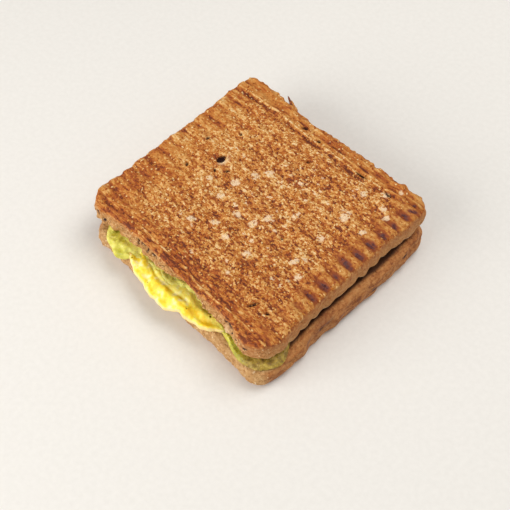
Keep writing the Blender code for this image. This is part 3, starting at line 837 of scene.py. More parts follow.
# %% [markdown]
# ## Toast colour
# Grain, patches and masks add up to one tone, and a colour ramp reads it: cream where the crumb is pale, tan
# and orange-brown where it is toasted, red-brown and near black where it is scorched. One tone through one
# ramp keeps the colours in the order that real browning follows.

# %% Toast material
CREAM, TAN, AMBER = (0.74, 0.445, 0.165), (0.58, 0.26, 0.058), (0.46, 0.150, 0.021)
# PIT_SHADE is painted shade: the near-black colour put into pits, cracks and hollows.
RUST, BURNT, PIT_SHADE = (0.31, 0.068, 0.010), (0.13, 0.026, 0.006), (0.04, 0.009, 0.008)
BREAD_SHINE = 0.35
BROWNING = [(0.08, BURNT), (0.25, RUST), (0.43, AMBER), (0.60, TAN), (0.78, CREAM),
            (0.95, (0.82, 0.62, 0.36))]


def weigh(tree, start, *parts):
    """start plus each (value, weight) product."""
    total = start
    for value, weight in parts:
        total = calc(tree, "MULTIPLY_ADD", value, weight, total)
    return total


def shared(tree, group, in_mm, values):
    """One of the shared finishes, placed in a material with its own values."""
    return put(tree, "ShaderNodeGroup", {"Place in mm": in_mm, **values}, node_tree=group)


def mottled(tree, in_mm, grain, streak, patch=0.05):
    """Grain and patches of a bread surface, both about nought."""
    group = shared(tree, MOTTLE, in_mm, {"Grain per mm": grain, "Patch per mm": patch, "Streak": streak})
    return [calc(tree, "SUBTRACT", group.outputs[name], 0.5) for name in ("Grain", "Patches")]


def mix_numbers(tree, share, first, second):
    """first where share is 0, second where it is 1."""
    node = put(tree, "ShaderNodeMix", {0: share, 2: first, 3: second})
    return node.outputs[0]


def make_toast_material():
    material, tree, shader, in_mm = start_material("toasted bread")

    def mask(name):
        return attribute(tree, name)

    crumb = shared(tree, CRUMB, in_mm, {"Crumbs per mm": 1.5, "Pores per mm": 0.55})
    round_grain, patches = mottled(tree, in_mm, 0.80, 0.66, 0.10)
    fibre_grain = mottled(tree, in_mm, 0.80, 0.30)[0]
    fibre_share = calc(tree, "MULTIPLY", mask("fibrous"), 0.75)
    grain = mix_numbers(tree, fibre_share, round_grain, fibre_grain)
    calm = weigh(tree, 1.0, (mask("golden"), -0.35), (mask("far_band"), -0.35), (mask("even"), -0.28))
    grain = calc(tree, "MULTIPLY", grain, calm)
    tone = weigh(tree, 0.51, (grain, 1.50), (patches, 0.30), (mask("groove"), -0.28),
                 (mask("fibrous"), -0.05), (mask("reddish"), -0.27), (mask("valley"), -0.42),
                 (mask("crease"), 0.40), (mask("far_band"), 0.04), (crumb.outputs["Pores"], -0.12),
                 (mask("toasting"), -0.07))
    top = colours(tree, tone, BROWNING)
    golden = colours(tree, tone, [(0.12, RUST), (0.38, (0.46, 0.170, 0.026)), (0.70, (0.60, 0.31, 0.09))])
    top = blend_colour(tree, calc(tree, "MULTIPLY", mask("golden"), 0.75), top, golden)
    top = blend_colour(tree, spread(tree, patches, 0.3, -0.4, 0.1, 0.8), top, (1.0, 0.86, 0.66), "MULTIPLY")
    pale = spread(tree, weigh(tree, mask("pale"), (grain, 0.5)), 0.30, 0.62, 0.0, 0.90)
    top = blend_colour(tree, pale, top, (0.80, 0.59, 0.38))
    crumb_side = colours(tree, weigh(tree, 0.45, (grain, 0.95), (mask("share"), 0.05)),
                         [(0.14, (0.20, 0.076, 0.018)), (0.36, (0.43, 0.195, 0.054)),
                          (0.60, (0.57, 0.305, 0.108)), (0.85, (0.70, 0.46, 0.225))])
    crust_side = colours(tree, weigh(tree, 0.33, (round_grain, 0.75), (mask("share"), 0.34)),
                         [(0.15, RUST), (0.40, (0.44, 0.165, 0.040)), (0.62, (0.54, 0.25, 0.080)),
                          (0.88, (0.66, 0.37, 0.150))])
    other_side = colours(tree, weigh(tree, 0.40, (grain, 0.5), (mask("share"), 0.15)),
                         [(0.15, RUST), (0.42, (0.41, 0.145, 0.036)), (0.75, (0.52, 0.25, 0.095))])
    colour = blend_colour(tree, spread(tree, mask("share"), 0.05, 0.28, 0.0, 1.0, True), top, other_side)
    colour = blend_colour(tree, mask("right_side"), colour, crust_side)
    colour = blend_colour(tree, mask("near_side"), colour, crumb_side)
    rim = spread(tree, mask("rim_line"), 0.3, 0.8)
    colour = blend_colour(tree, rim, colour, (0.80, 0.58, 0.36))
    colour = blend_colour(tree, mask("hole_rim"), colour, (0.76, 0.53, 0.30))
    scorched = calc(tree, "MULTIPLY_ADD", grain, 0.5, mask("scorch"))
    colour = blend_colour(tree, spread(tree, scorched, 0.14, 0.5), colour, (0.26, 0.055, 0.012))
    colour = blend_colour(tree, spread(tree, scorched, 0.42, 0.90), colour, (0.090, 0.019, 0.018))
    # Painted shade: pits, cracks and wall hollows are coloured near black for the shade inside them.
    colour = blend_colour(tree, spread(tree, mask("pit"), 0.18, 0.55), colour, PIT_SHADE)
    surface(tree, shader, colour, spread(tree, mask("scorch"), 0.3, 0.8, 0.72, 0.32), BREAD_SHINE)
    bump(tree, shader, crumb.outputs["Height"], 0.4, 1.0)
    return material


TOAST = make_toast_material()
print("toast material has", len(TOAST.node_tree.nodes), "nodes")

# %% Make the upper slice
upper = make_piece("upper_slice", upper_points, upper_quads.tolist() + upper_cap, upper_numbers)
run_tree(upper, RELIEF, {"Rib place": UPPER["rib_at"], "Rib depth": 0.95, "Crumb height": 0.2, "Seed": 3.0,
                         "Finish": TOAST})
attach(upper, "root")
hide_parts("bread_top")
print("upper slice", len(upper.data.polygons), "faces")

# %% [markdown]
# ## The lower slice
# The lower slice lies ribs down, so only its crust and the rim of its cut face show. On the right it is a
# rounded brown crust with streaks along it; on the near side it is pale crumb. It uses the same form and the
# same relief tree with coarser cells.

# %% Shape of the lower slice
CRUST_NICKS = ((-21.0, 8.6, 2.2, 1.0, 1.4), (-23.5, 3.0, 1.6, 1.2, 1.0), (14.0, 6.0, 3.0, 0.8, 0.5),
               (-42.0, 8.0, 2.5, 0.8, 0.5), (36.0, 9.0, 2.6, 0.8, 0.6))
SHOULDER_RISE = 1.35


def shape_lower(points, numbers):
    """Masks and small swells of the lower slice."""
    x, y, z = points.T.copy()
    share = numbers["share"]
    outer = 1 - ramp(share, 1.0, 1.6)
    on_side = ramp(share, 0.04, 0.2) * outer
    near_side = ramp(-y, 55, 60) * on_side
    right_side = ramp(x, 57, 62) * on_side * (1 - near_side)
    y = y - near_side * (0.3 * ripples(x, z, 3.0, 41) + 0.2 * ripples(x, z, 1.4, 42))
    push = 0.35 * ripples(y / 3, z, 2.2, 43) + 0.25 * ripples(y, z, 6.0, 44)
    push, hollow_shade = press_hollows(push, y, z, CRUST_NICKS)
    x = x + right_side * push
    blotch = np.clip(ripples(y / 3, z, 2.0, 47) - 0.9, 0, 1) + 0.9 * spot(y, z, (-20, 9.5), 5.0, 2.2)
    z = z + (0.18 * ripples(x, y, 3.0, 45)) * ramp(share, 0.9, 1.0)
    shoulder = ramp(x, 56, 60) * ramp(y, -42, -30) * ramp(share, 0.5, 0.95) * (1 - ramp(share, 2.5, 6.0))
    z = z + shoulder * (SHOULDER_RISE + 0.35 * ripples(y, 0 * x, 6.0, 48))
    numbers.update({
        "near_side": near_side, "right_side": right_side,
        "cut": ramp(share, 0.93, 1.0) * (1 - ramp(x, 50, 58) * ramp(y, -52, -40)),
        # gap: painted shade on the lower slice's top face where it lies in the gap under the upper slice's
        # right edge
        "gap": ramp(share, 1.1, 2.9) * ramp(x, 44, 54) * ramp(y, -50, -40),
        "pressed": 1 - ramp(share, 0.0, 0.15), "crumbly": 1 - 0.4 * right_side,
        "porous": np.clip(0.6 * near_side + 0.7 * ramp(share, 0.95, 1.0), 0, 1),
        # pit: painted shade in the hollows nicked into the crust
        "pit": hollow_shade * right_side, "blotch": np.clip(blotch, 0, 1) * right_side,
    })
    return np.stack([x, y, z], -1)


lower_points = shape_lower(lower_points, lower_numbers)


def make_lower_material():
    material, tree, shader, in_mm = start_material("lower crust")
    turned = put(tree, "ShaderNodeMapping", {"Vector": in_mm, "Rotation": (0, 0, math.pi / 2)}).outputs[0]
    grain = mottled(tree, in_mm, 0.72, 0.85)[0]
    streaks, streak_patches = mottled(tree, turned, 0.55, 0.34, 0.12)
    crumb = shared(tree, CRUMB, in_mm, {"Crumbs per mm": 1.3, "Pores per mm": 0.6})
    under = colours(tree, weigh(tree, 0.45, (grain, 1.1), (attribute(tree, "groove"), -0.25)), BROWNING)
    share = attribute(tree, "share")
    crust = colours(tree, weigh(tree, 0.48, (streaks, 0.38), (streak_patches, 0.30), (grain, 0.55)),
                    [(0.14, (0.14, 0.034, 0.009)), (0.34, (0.34, 0.112, 0.026)),
                     (0.52, (0.47, 0.190, 0.052)), (0.78, (0.59, 0.290, 0.100))])
    near = colours(tree, weigh(tree, 0.49, (grain, 0.9), (share, 0.05)),
                   [(0.12, (0.24, 0.105, 0.030)), (0.38, (0.43, 0.218, 0.072)),
                    (0.62, (0.54, 0.305, 0.118)), (0.86, (0.66, 0.440, 0.215))])
    colour = blend_colour(tree, spread(tree, share, 0.03, 0.16, 0.0, 1.0, True), under, crust)
    colour = blend_colour(tree, attribute(tree, "near_side"), colour, near)
    colour = blend_colour(tree, attribute(tree, "cut"), colour, near)
    # Painted shade: the lower slice's top face in the gap under the upper slice is darkened almost to black.
    gap = calc(tree, "MULTIPLY", attribute(tree, "gap"), 0.95)
    colour = blend_colour(tree, gap, colour, (0.060, 0.018, 0.006))
    colour = blend_colour(tree, calc(tree, "MULTIPLY", attribute(tree, "blotch"), 0.85), colour, BURNT)
    # Painted shade: the hollows nicked into the crust are coloured near black.
    colour = blend_colour(tree, spread(tree, attribute(tree, "pit"), 0.3, 0.8), colour, PIT_SHADE)
    surface(tree, shader, colour, spread(tree, attribute(tree, "blotch"), 0.2, 0.8, 0.70, 0.45), BREAD_SHINE)
    bump(tree, shader, crumb.outputs["Height"], 0.35, 0.9)
    return material


LOWER_CRUST = make_lower_material()
print("lower slice points", len(lower_points))

# %% Make the lower slice
lower = make_piece("lower_slice", lower_points, lower_quads.tolist() + lower_cap, lower_numbers)
run_tree(lower, RELIEF, {"Rib place": LOWER["rib_at"], "Rib depth": 0.8, "Crumb height": 0.2, "Seed": 8.0,
                         "Finish": LOWER_CRUST})
for vertex in lower.data.vertices:
    vertex.co.z = max(vertex.co.z, 0.0)
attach(lower, "root")
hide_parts("bread_bottom")
print("lower slice", len(lower.data.polygons), "faces")

# %% [markdown]
# ## Egg and avocado: shapes measured from one middle
# Both fillings are round sheets, so both are drawn as rings of points round the egg's middle: an edge given
# as a distance for each direction, an upper side and an underside. The near side, which shows most, gets
# fine sectors; the rest, mostly hidden, gets coarse ones.

# %% Rings round a middle
EGG_MIDDLE = (0.0, -14.5)
EGG_RADIUS = 51.8
EGG_SHELF = 11.9
NEAR_FROM, NEAR_TO = math.radians(-168), math.radians(-12)
ANGLES = np.concatenate([np.linspace(NEAR_FROM, NEAR_TO, 520, endpoint=False),
                         np.linspace(NEAR_TO, NEAR_FROM + math.tau, 70, endpoint=False)])


def angle_of(x, y):
    """Direction of a point, seen from the egg's middle."""
    return np.arctan2(y - EGG_MIDDLE[1], x - EGG_MIDDLE[0])


def between(over, under, share):
    """A height function that lies share of the way from over to under."""
    return lambda x, y, reach: over(x, y, reach) * (1 - share) + under(x, y, reach) * share


def ring_mesh(stages):
    """Points and faces of a closed body. Each stage is (distances, height function)."""
    count = len(ANGLES)
    points = []
    for distances, height in stages:
        x = EGG_MIDDLE[0] + distances * np.cos(ANGLES)
        y = EGG_MIDDLE[1] + distances * np.sin(ANGLES)
        points.append(np.stack([x, y, height(x, y, distances)], -1))
    first, last = points[0].mean(0, keepdims=True), points[-1].mean(0, keepdims=True)
    k = np.arange(count)
    after = (k + 1) % count
    faces = [(count * len(stages), int(a), int(b)) for a, b in zip(k, after)]
    for r in range(len(stages) - 1):
        upper_ring, lower_ring = r * count, (r + 1) * count
        ring_faces = [upper_ring + k, lower_ring + k, lower_ring + after, upper_ring + after]
        faces += np.stack(ring_faces, -1).tolist()
    end = (len(stages) - 1) * count
    faces += [(end + int(a), count * len(stages) + 1, end + int(b)) for a, b in zip(k, after)]
    return np.vstack(points + [first, last]), faces


print("sectors", len(ANGLES))

# %% [markdown]
# ## Egg
# The egg is a thin fried sheet of beaten yolk and white. It lies folded on the lower slice and hangs a few
# millimetres over its edge, with a rolled cream-coloured rim, soft folds along the rim, a notch between two
# lobes, and a tip that browned against the pan. It is drawn as rings, since its edge is a round with dents.

# %% Egg shape
NOTCH = math.radians(-77)
EGG_THICK, EGG_SWELL = 2.3, 0.9


def egg_reach(angle):
    """Distance from the middle to the egg's edge."""
    lobes = 0.5 * np.sin(3 * angle + 0.6) + 0.35 * np.sin(11 * angle) + 0.28 * np.sin(29 * angle + 1)
    lobes = lobes + 0.15 * np.sin(67 * angle)
    degrees = np.degrees(angle)
    swell = 2.4 * ramp(degrees, -76, -58) * (1 - ramp(degrees, -52, -40)) + 1.0 * hill(degrees, -116, 11)
    notch = 1.3 * hill(angle, NOTCH, 0.06)
    return EGG_RADIUS + lobes + swell - notch - 5.0 * ramp(np.sin(angle), -0.75, -0.1)


def egg_under(x, y, reach=None):
    """Underside of the egg: flat on the lower slice, and drooping past its edge, whatever the reach."""
    return EGG_SHELF - 0.38 * np.maximum(0.0, -61.0 - y)


def fold_line(x):
    """Where the front sheet of the egg folds down towards the back."""
    return -58.8 + 0.03 * (x + 2) ** 2 * ramp(-x, -2, 30) + 1.2 * ramp(x, 0, 10)


def egg_over(x, y, reach):
    """Upper side of the egg: folds along the rim, a rolled rim, and a crease behind the front sheet."""
    angle = angle_of(x, y)
    from_rim = egg_reach(angle) - reach
    showing = ramp(-y, 46, 57)
    arc = angle * EGG_RADIUS
    thick = EGG_THICK + 0.7 * showing
    folds = 0.38 * ripples(arc / 2.2, from_rim, 3.4, 61) + 0.22 * ripples(x, y, 3.6, 62)
    folds = folds + 0.07 * ripples(x, y, 1.2, 63)
    rolled = 0.45 * hill(from_rim, 1.2, 0.9) - 0.2 * hill(from_rim, 3.4, 1.2)
    crease = -0.8 * hill(y, fold_line(x), 0.8) * ramp(x, -22, -14) * (1 - ramp(x, 9, 14))
    swell = EGG_SWELL * hill(from_rim, 6.0, 3.0)
    return egg_under(x, y) + thick + showing * (folds + rolled + crease + swell)


def make_egg_form():
    """Points, faces and numbers of the egg sheet: over the top, round the rim and back underneath."""
    edge = egg_reach(ANGLES)
    backs = [edge * 0.75, edge - 22, edge - 15, edge - 11.5]
    backs += [edge - back for back in np.linspace(10, 0.7, 22)]
    stages = [(edge * 0.4, egg_over)] + [(d, egg_over) for d in backs]
    stages += [(edge - back, between(egg_over, egg_under, share))
               for back, share in ((0.22, 0.12), (0, 0.4), (0.1, 0.7), (0.6, 0.95))]
    stages += [(edge - back, egg_under) for back in (1.5, 3, 5, 8, 12, 18, 26)] + [(edge * 0.3, egg_under)]
    points, faces = ring_mesh(stages)
    x, y, _ = points.T
    angle = angle_of(x, y)
    from_rim = egg_reach(angle) - np.hypot(x - EGG_MIDDLE[0], y - EGG_MIDDLE[1])
    arc = angle * EGG_RADIUS
    cream = np.clip(0.55 * ripples(arc / 1.6, from_rim, 3.0, 65) + 0.35 * ripples(x, y, 1.6, 66), -1, 1)
    tip = spot(x, y, (-30.2, -57.4), 4.2, 3.2, -30)
    numbers = {
        "rim": hill(from_rim, 0.2, 0.6), "cream": cream,
        "brown": np.clip(tip * (0.9 + 0.3 * ripples(x, y, 1.4, 68)), 0, 1),
        "rich": np.clip(ramp(x, 9, 17) + spot(x, y, (-3, -62), 6, 1.8, 0), 0, 1),
        "green": (1 - ramp(fold_line(x) - y, -1.5, 1.2)) * ramp(x, -22, -14),
    }
    return points, faces, numbers


EGG_BUBBLES = ((24.9, -55.5, 0.55), (-27.0, -58.0, 0.6), (-24.8, -60.0, 0.4), (-30.6, -56.4, 0.7),
               (-28.9, -55.6, 0.5), (-31.2, -59.0, 0.45), (14.0, -60.5, 0.35), (-10.0, -63.4, 0.3))
egg_points, egg_faces, egg_numbers = make_egg_form()
hollow = np.zeros(len(egg_points))
for px, py, size in EGG_BUBBLES:
    away = np.hypot(egg_points[:, 0] - px, egg_points[:, 1] - py) / size
    hollow = np.maximum(hollow, np.exp(-away ** 2))
    egg_points[:, 2] += 0.35 * np.exp(-((away - 1.6) / 0.6) ** 2) - 0.8 * np.exp(-away ** 2)
egg_numbers["hollow"] = hollow
print("egg points", len(egg_points))


# %% Egg material
def make_egg_material():
    material, tree, shader, in_mm = start_material("cooked egg")
    sheen = shared(tree, SHEEN, in_mm, {"Wettest": 0.28, "Driest": 0.50, "Film per mm": 0.35})
    cloud = calc(tree, "SUBTRACT", noise(tree, in_mm, 0.55, 3.0, 0.6).outputs["Fac"], 0.5)
    tone = weigh(tree, 0.50, (attribute(tree, "cream"), 0.42), (cloud, 0.9), (attribute(tree, "rich"), -0.34))
    colour = colours(tree, tone, [(0.08, (0.89, 0.60, 0.018)), (0.34, (0.95, 0.75, 0.045)),
                                  (0.56, (0.95, 0.80, 0.120)), (0.74, (0.97, 0.86, 0.30)),
                                  (0.95, (0.97, 0.89, 0.50))])
    green = calc(tree, "MULTIPLY", attribute(tree, "green"), 0.60)
    colour = blend_colour(tree, green, colour, (0.80, 0.76, 0.17))
    rim = spread(tree, attribute(tree, "rim"), 0.45, 0.95, 0.0, 0.7)
    colour = blend_colour(tree, rim, colour, (0.92, 0.70, 0.38))
    brown = calc(tree, "MULTIPLY_ADD", cloud, 0.8, attribute(tree, "brown"))
    colour = blend_colour(tree, spread(tree, brown, 0.25, 0.75, 0.0, 0.85), colour, (0.66, 0.27, 0.025))
    bubbles = spread(tree, attribute(tree, "hollow"), 0.3, 0.7)
    colour = blend_colour(tree, bubbles, colour, (0.20, 0.075, 0.010))
    surface(tree, shader, colour, sheen.outputs["Roughness"], 0.35)
    moist_inside(shader, 0.25, (1.0, 0.6, 0.15), 1.2)
    bump(tree, shader, sheen.outputs["Ripple"], 0.3, 0.6)
    return material


egg = make_piece("egg_sheet", egg_points, egg_faces, egg_numbers)
egg.data.materials.append(make_egg_material())
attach(egg, "root")
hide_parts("egg")
print("egg sheet", len(egg.data.polygons), "faces")

# %% [markdown]
# ## Mashed avocado
# Ripe avocado mashed with a fork keeps soft lumps and has no edge of its own: it is squeezed out between the
# slices. Its edge is a smooth closed curve through a list of distances, one for each direction, bulging most
# at the two corners where it shows. Small and large lumps swell its upper side.

# %% Avocado shape
AVOCADO_EDGE = ((-180, 51.5), (-160, 53.5), (-148, 58), (-140, 62), (-133, 63), (-128, 61.5), (-123, 58.5),
                (-117, 50), (-108, 45.0), (-99, 44.6), (-90, 42.8), (-80, 40.5), (-70, 42.5), (-62, 46),
                (-56, 50), (-50, 56.5), (-44, 66.5), (-39, 72), (-34.5, 73.6), (-30, 73.2), (-25.5, 69.5),
                (-20, 62), (-10, 54), (15, 54), (45, 70), (60, 66), (90, 58), (120, 66), (138, 72), (160, 55))
SOFT_LUMPS = ((-46.5, -57.5, 3.6, 1.2), (-40.5, -60.8, 3.4, 1.3), (-34.0, -57.6, 3.4, 1.3),
              (-49.5, -53.5, 2.6, 0.8), (-28.0, -55.4, 2.8, 0.9), (-43.2, -55.8, 2.2, 0.7),
              (38.0, -57.0, 2.6, 0.6), (46.0, -58.5, 3.0, 0.6), (55.0, -55.5, 3.0, 0.5),
              (30.0, -55.0, 2.6, 0.5))
AVOCADO_TOP, AVOCADO_SINK, AVOCADO_FLOOR = 16.8, 1.4, 13.0
AVOCADO_OVER_EGG = 2.6


def with_lumps(height, x, y):
    """height with the avocado's soft lumps added."""
    for px, py, size, rise in SOFT_LUMPS:
        height = height + rise * spot(x, y, (px, py), size, size * 0.8)
    return height


def avocado_reach(angle):
    """Distance to the avocado's edge, from a smooth closed curve through AVOCADO_EDGE."""
    stops = [(turn + lap, reach) for lap in (-360, 0, 360) for turn, reach in AVOCADO_EDGE]
    fine = smooth_run(stops, 2400)
    reach = np.interp(np.degrees(angle), fine[:, 0], fine[:, 1])
    return reach + 0.35 * np.sin(23 * angle) + 0.25 * np.sin(41 * angle + 2)


def avocado_over(x, y, reach):
    """Upper side: pressed flat under the upper slice, lower and lumpy where it peeps out."""
    angle = angle_of(x, y)
    from_edge = avocado_reach(angle) - reach
    peeping = 1 - ramp(from_edge, 5, 13)
    thin = ramp(x, 24, 44) * ramp(-y, 30, 46)
    lumps = with_lumps(0.45 * ripples(x, y, 3.4, 71) + 0.2 * ripples(x, y, 1.5, 72), x, y)
    round_off = -1.3 * hill(from_edge, 0.0, 1.3)
    sunk = peeping * (AVOCADO_SINK + 1.5 * thin)
    return AVOCADO_TOP - sunk + peeping * lumps * (1 - 0.5 * thin) + round_off


def avocado_under(x, y, reach):
    """Underside: over the egg, or past it on the lower slice."""
    angle = angle_of(x, y)
    limit = egg_reach(angle)
    over_egg = egg_under(x, y) + AVOCADO_OVER_EGG
    sag = 0.45 * np.maximum(0.0, -61.4 - y) + 0.45 * np.maximum(0.0, x - 65.0)
    return np.where(reach < limit + 1.2, over_egg, EGG_SHELF - 0.1 - sag)


def make_avocado_form():
    edge = avocado_reach(ANGLES)
    backs = [edge * 0.75, edge - 20] + [edge - back for back in np.linspace(15, 0.6, 30)]
    stages = [(edge * 0.45, avocado_over)] + [(d, avocado_over) for d in backs]

    def low_under(x, y, reach):
        return np.minimum(avocado_under(x, y, reach), AVOCADO_FLOOR)

    stages += [(edge - back, between(avocado_over, low_under, share))
               for back, share in ((0.12, 0.2), (0, 0.5), (0.15, 0.8), (0.6, 1.0))]
    stages += [(edge - back, avocado_under) for back in (1.4, 2.4, 4, 7, 12, 18)]
    return ring_mesh(stages + [(edge * 0.4, avocado_under)])


def make_avocado_material():
    material, tree, shader, in_mm = start_material("mashed avocado")
    sheen = shared(tree, SHEEN, in_mm, {"Wettest": 0.25, "Driest": 0.50, "Film per mm": 0.45})
    lumps = calc(tree, "SUBTRACT", noise(tree, in_mm, 0.32, 4.0, 0.65).outputs["Fac"], 0.5)
    # Painted light and shade: lump tops (height) are coloured lighter, and the shaded part towards the near
    # corner darker.
    tone = weigh(tree, 0.5, (lumps, 1.5), (attribute(tree, "height"), 0.16),
                 (attribute(tree, "shaded"), -0.17))
    colour = colours(tree, tone, [(0.12, (0.31, 0.30, 0.016)), (0.38, (0.51, 0.48, 0.034)),
                                  (0.60, (0.66, 0.60, 0.068)), (0.85, (0.80, 0.73, 0.18))])
    # Painted light: the avocado's middle strip, which lies in shade under the upper slice, is lightened.
    colour = blend_colour(tree, attribute(tree, "fresh"), colour, (0.82, 0.78, 0.20))
    # The olive ramp is partly the avocado's own olive colour and partly painted shade at the near corner.
    olive = colours(tree, tone, [(0.20, (0.22, 0.125, 0.014)), (0.42, (0.40, 0.260, 0.032)),
                                 (0.66, (0.66, 0.50, 0.110))])
    colour = blend_colour(tree, attribute(tree, "olive"), colour, olive)
    surface(tree, shader, colour, sheen.outputs["Roughness"])
    moist_inside(shader, 0.3, (0.8, 1.0, 0.2), 1.4)
    bump(tree, shader, sheen.outputs["Ripple"], 0.4, 0.7)
    return material


avocado_points, avocado_faces = make_avocado_form()
# The lump heights also serve as painted light: the tops of the lumps are coloured lighter.
lump_height = with_lumps(np.zeros(len(avocado_points)), avocado_points[:, 0], avocado_points[:, 1])
across = avocado_points[:, 0] + 0.6 * (avocado_points[:, 1] + 60)
avocado_numbers = {"height": lump_height,
                   # olive and shaded: olive colour and painted shade towards the near corner
                   "olive": 0.10 * ramp(across, 10, 30) + 0.85 * ramp(across, 45, 54),
                   "shaded": ramp(across, 16, 30),
                   # fresh: lightens the avocado's middle strip where it lies in shade
                   "fresh": 0.6 * ramp(across, -34, -22) * (1 - ramp(across, 14, 26))}
avocado = make_piece("avocado_mash", avocado_points, avocado_faces, avocado_numbers)
avocado.data.materials.append(make_avocado_material())
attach(avocado, "root")
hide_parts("avocado")
print("avocado mash", len(avocado.data.polygons), "faces")

# %% [markdown]
# ## Loose grain by Geometry Nodes
# Wholemeal toast is rough with separate grains: scorched flecks, pale crumbs and bits of bran. There are
# thousands, so a tree sows them: points at random over a slice where a mask allows, a small squashed ball
# of 20 faces on each, turned at random and half sunk. Each ball keeps one random tone, so each gets its own
# colour.

# %% Scatter tree
TIP = 0.4  # radians that a grain may tip out of the surface
GRAIN_LONG, GRAIN_WIDE = 1.25, 0.85


def make_scatter_tree():
    tree, given, result = new_tree(
        "sown grain", "GeometryNodeTree",
        [("Surface", SHAPE), ("Where", "NodeSocketString", "grainy"), ("Per square mm", FLOAT, 0.4),
         ("Smallest", FLOAT, 0.3), ("Largest", FLOAT, 0.6), ("Flatness", FLOAT, 0.5), ("Sunk", FLOAT, 0.1),
         ("Seed", "NodeSocketInt", 1), ("Finish", "NodeSocketMaterial")],
        [("Grain", SHAPE)])
    wants = given.outputs
    seed = wants["Seed"]
    here = named(tree, wants["Where"])
    per_square_metre = calc(tree, "MULTIPLY", calc(tree, "MULTIPLY", wants["Per square mm"], MM ** -2), here)
    sown = put(tree, "GeometryNodeDistributePointsOnFaces",
               {"Mesh": wants["Surface"], "Density": per_square_metre, "Seed": seed},
               distribute_method="RANDOM")
    sink = scaled(tree, sown.outputs["Normal"], calc(tree, "MULTIPLY", wants["Sunk"], -MM))
    points = put(tree, "GeometryNodeSetPosition",
                 {"Geometry": sown.outputs["Points"], "Offset": sink}).outputs[0]
    spin = put(tree, "FunctionNodeRandomValue",
               {0: (-TIP, -TIP, 0.0), 1: (TIP, TIP, math.tau), "Seed": seed},
               data_type="FLOAT_VECTOR").outputs[0]
    spin = put(tree, "FunctionNodeEulerToRotation", {0: spin}).outputs[0]
    turn = put(tree, "FunctionNodeRotateRotation", {0: sown.outputs["Rotation"], 1: spin},
               rotation_space="LOCAL").outputs[0]
    size = put(tree, "FunctionNodeRandomValue", {2: wants["Smallest"], 3: wants["Largest"], "Seed": seed},
               data_type="FLOAT").outputs[1]
    squash = put(tree, "ShaderNodeCombineXYZ",
                 {0: GRAIN_LONG, 1: GRAIN_WIDE, 2: wants["Flatness"]}).outputs[0]
    scale = scaled(tree, squash, calc(tree, "MULTIPLY", size, MM))
    ball = put(tree, "GeometryNodeMeshIcoSphere", {"Radius": 1.0, "Subdivisions": 1}).outputs["Mesh"]
    shape = put(tree, "GeometryNodeInstanceOnPoints",
                {"Points": points, "Instance": ball, "Rotation": turn, "Scale": scale}).outputs[0]
    tone = put(tree, "FunctionNodeRandomValue", {2: 0.0, 3: 1.0, "Seed": calc(tree, "ADD", seed, 7)},
               data_type="FLOAT").outputs[1]
    shape = store(tree, shape, "tone", tone, "INSTANCE")
    return end_tree(tree, shape, wants["Finish"], result.inputs["Grain"])


SCATTER = make_scatter_tree()
print("scatter inputs", [s.name for s in SCATTER.interface.items_tree if s.in_out == "INPUT"][1:])


# %% Grain material
def make_grain_material(name, stops):
    """Each grain has one tone of its own, made uneven by the same mottling as the bread's."""
    material, tree, shader, in_mm = start_material(name)
    grain = mottled(tree, in_mm, 0.9, 1.0)[0]
    tone = weigh(tree, attribute(tree, "tone"), (grain, 0.5), (attribute(tree, "toasting"), -0.10),
                 (attribute(tree, "reddish"), -0.35), (attribute(tree, "pale"), 0.5))
    surface(tree, shader, colours(tree, tone, stops), 0.85, 0.15)
    crumb = shared(tree, CRUMB, in_mm, {"Crumbs per mm": 2.5})
    bump(tree, shader, crumb.outputs["Height"], 0.15, 0.8)
    return material


def sow(name, slice_piece, values):
    """Scatter grain over a slice as one piece of its own."""
    grains = bpy.data.objects.new(name, slice_piece.data.copy())
    bpy.context.scene.collection.objects.link(grains)
    run_tree(grains, SCATTER, values)
    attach(grains, "root")
    print(name, len(grains.data.polygons), "faces")
    return grains


TOP_GRAIN = make_grain_material(
    "toasted grain", [(0.14, RUST), (0.38, AMBER), (0.60, TAN), (0.82, CREAM), (1.0, (0.78, 0.54, 0.26))])
SIDE_GRAIN = make_grain_material(
    "side crumbs", [(0.05, (0.33, 0.15, 0.05)), (0.35, (0.50, 0.28, 0.115)), (0.70, (0.66, 0.43, 0.215)),
                    (0.95, (0.76, 0.57, 0.36))])
sow("top_grain", upper,
    {"Where": "grainy", "Per square mm": 0.50, "Smallest": 0.30, "Largest": 0.80, "Flatness": 0.36,
     "Sunk": 0.13, "Seed": 11, "Finish": TOP_GRAIN})
sow("upper_side_crumbs", upper,
    {"Where": "near_side", "Per square mm": 0.7, "Smallest": 0.2, "Largest": 0.6, "Flatness": 0.6,
     "Sunk": 0.15, "Seed": 12, "Finish": SIDE_GRAIN})
sow("lower_side_crumbs", lower,
    {"Where": "near_side", "Per square mm": 0.6, "Smallest": 0.2, "Largest": 0.55, "Flatness": 0.6,
     "Sunk": 0.15, "Seed": 13, "Finish": SIDE_GRAIN})

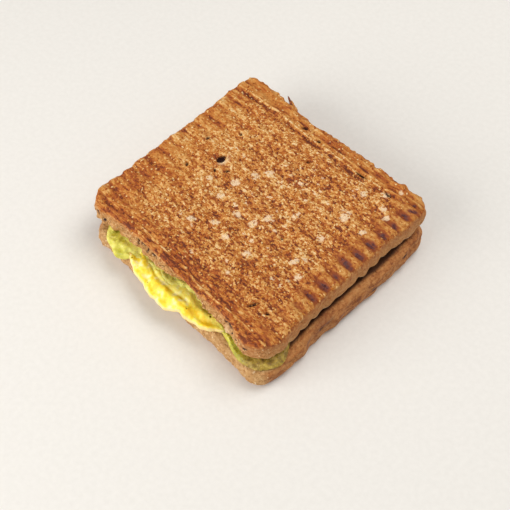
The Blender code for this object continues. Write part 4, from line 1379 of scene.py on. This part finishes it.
# %% [markdown]
# ## Two slivers of torn crust
# Where the loaf tore, two thin splinters of crust stand up on the far edge, one scorched and one golden.
# Each is a bent spike of rings that shrink to a tip, made directly, since there are only two.

# %% Crust slivers
def sliver(root, tip, width, sides=8, rings=9):
    """Points and faces of a flattened spike from root to tip, in millimetres."""
    root, tip = np.array(root), np.array(tip)
    along = tip - root
    across = np.cross(along, (0, 0, 1))
    across /= np.linalg.norm(across)
    lift = np.cross(across, along) / np.linalg.norm(along)
    points = [root - along * 0.05]
    for r in range(rings):
        share = r / rings
        middle = root + along * share + lift * 0.5 * math.sin(math.pi * share)
        half = width * (1 - share) ** 0.6 * (1 + 0.2 * math.sin(9 * share))
        for k in range(sides):
            turn = math.tau * k / sides
            points.append(middle + half * (across * math.cos(turn) + 0.55 * lift * math.sin(turn)))
    points.append(tip)
    faces = []
    for k in range(sides):
        after = (k + 1) % sides
        faces.append((0, 1 + k, 1 + after))
        for r in range(rings - 1):
            low, high = 1 + r * sides, 1 + (r + 1) * sides
            faces.append((low + k, high + k, high + after, low + after))
        last = 1 + (rings - 1) * sides
        faces.append((last + after, last + k, len(points) - 1))
    return np.array(points), faces


def make_sliver_material():
    material, tree, shader, in_mm = start_material("torn crust")
    grain = mottled(tree, in_mm, 1.2, 1.0)[0]
    tone = weigh(tree, attribute(tree, "tone"), (grain, 0.6))
    surface(tree, shader, colours(tree, tone, BROWNING), 0.75)
    crumb = shared(tree, CRUMB, in_mm, {"Crumbs per mm": 2.0})
    bump(tree, shader, crumb.outputs["Height"], 0.2, 0.9)
    return material


scorched_points, scorched_faces = sliver((-27.6, 53.2, 26.4), (-34.6, 57.0, 28.2), 1.15)
golden_points, golden_faces = sliver((-25.6, 53.4, 26.2), (-32.0, 56.6, 27.4), 1.25)
sliver_faces = scorched_faces + [tuple(k + len(scorched_points) for k in face) for face in golden_faces]
sliver_tones = [0.10] * len(scorched_points) + [0.52] * len(golden_points)
slivers = make_piece("crust_slivers", np.vstack([scorched_points, golden_points]), sliver_faces,
                     {"tone": sliver_tones})
slivers.data.materials.append(make_sliver_material())
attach(slivers, "root")
print("slivers", len(slivers.data.polygons), "faces")
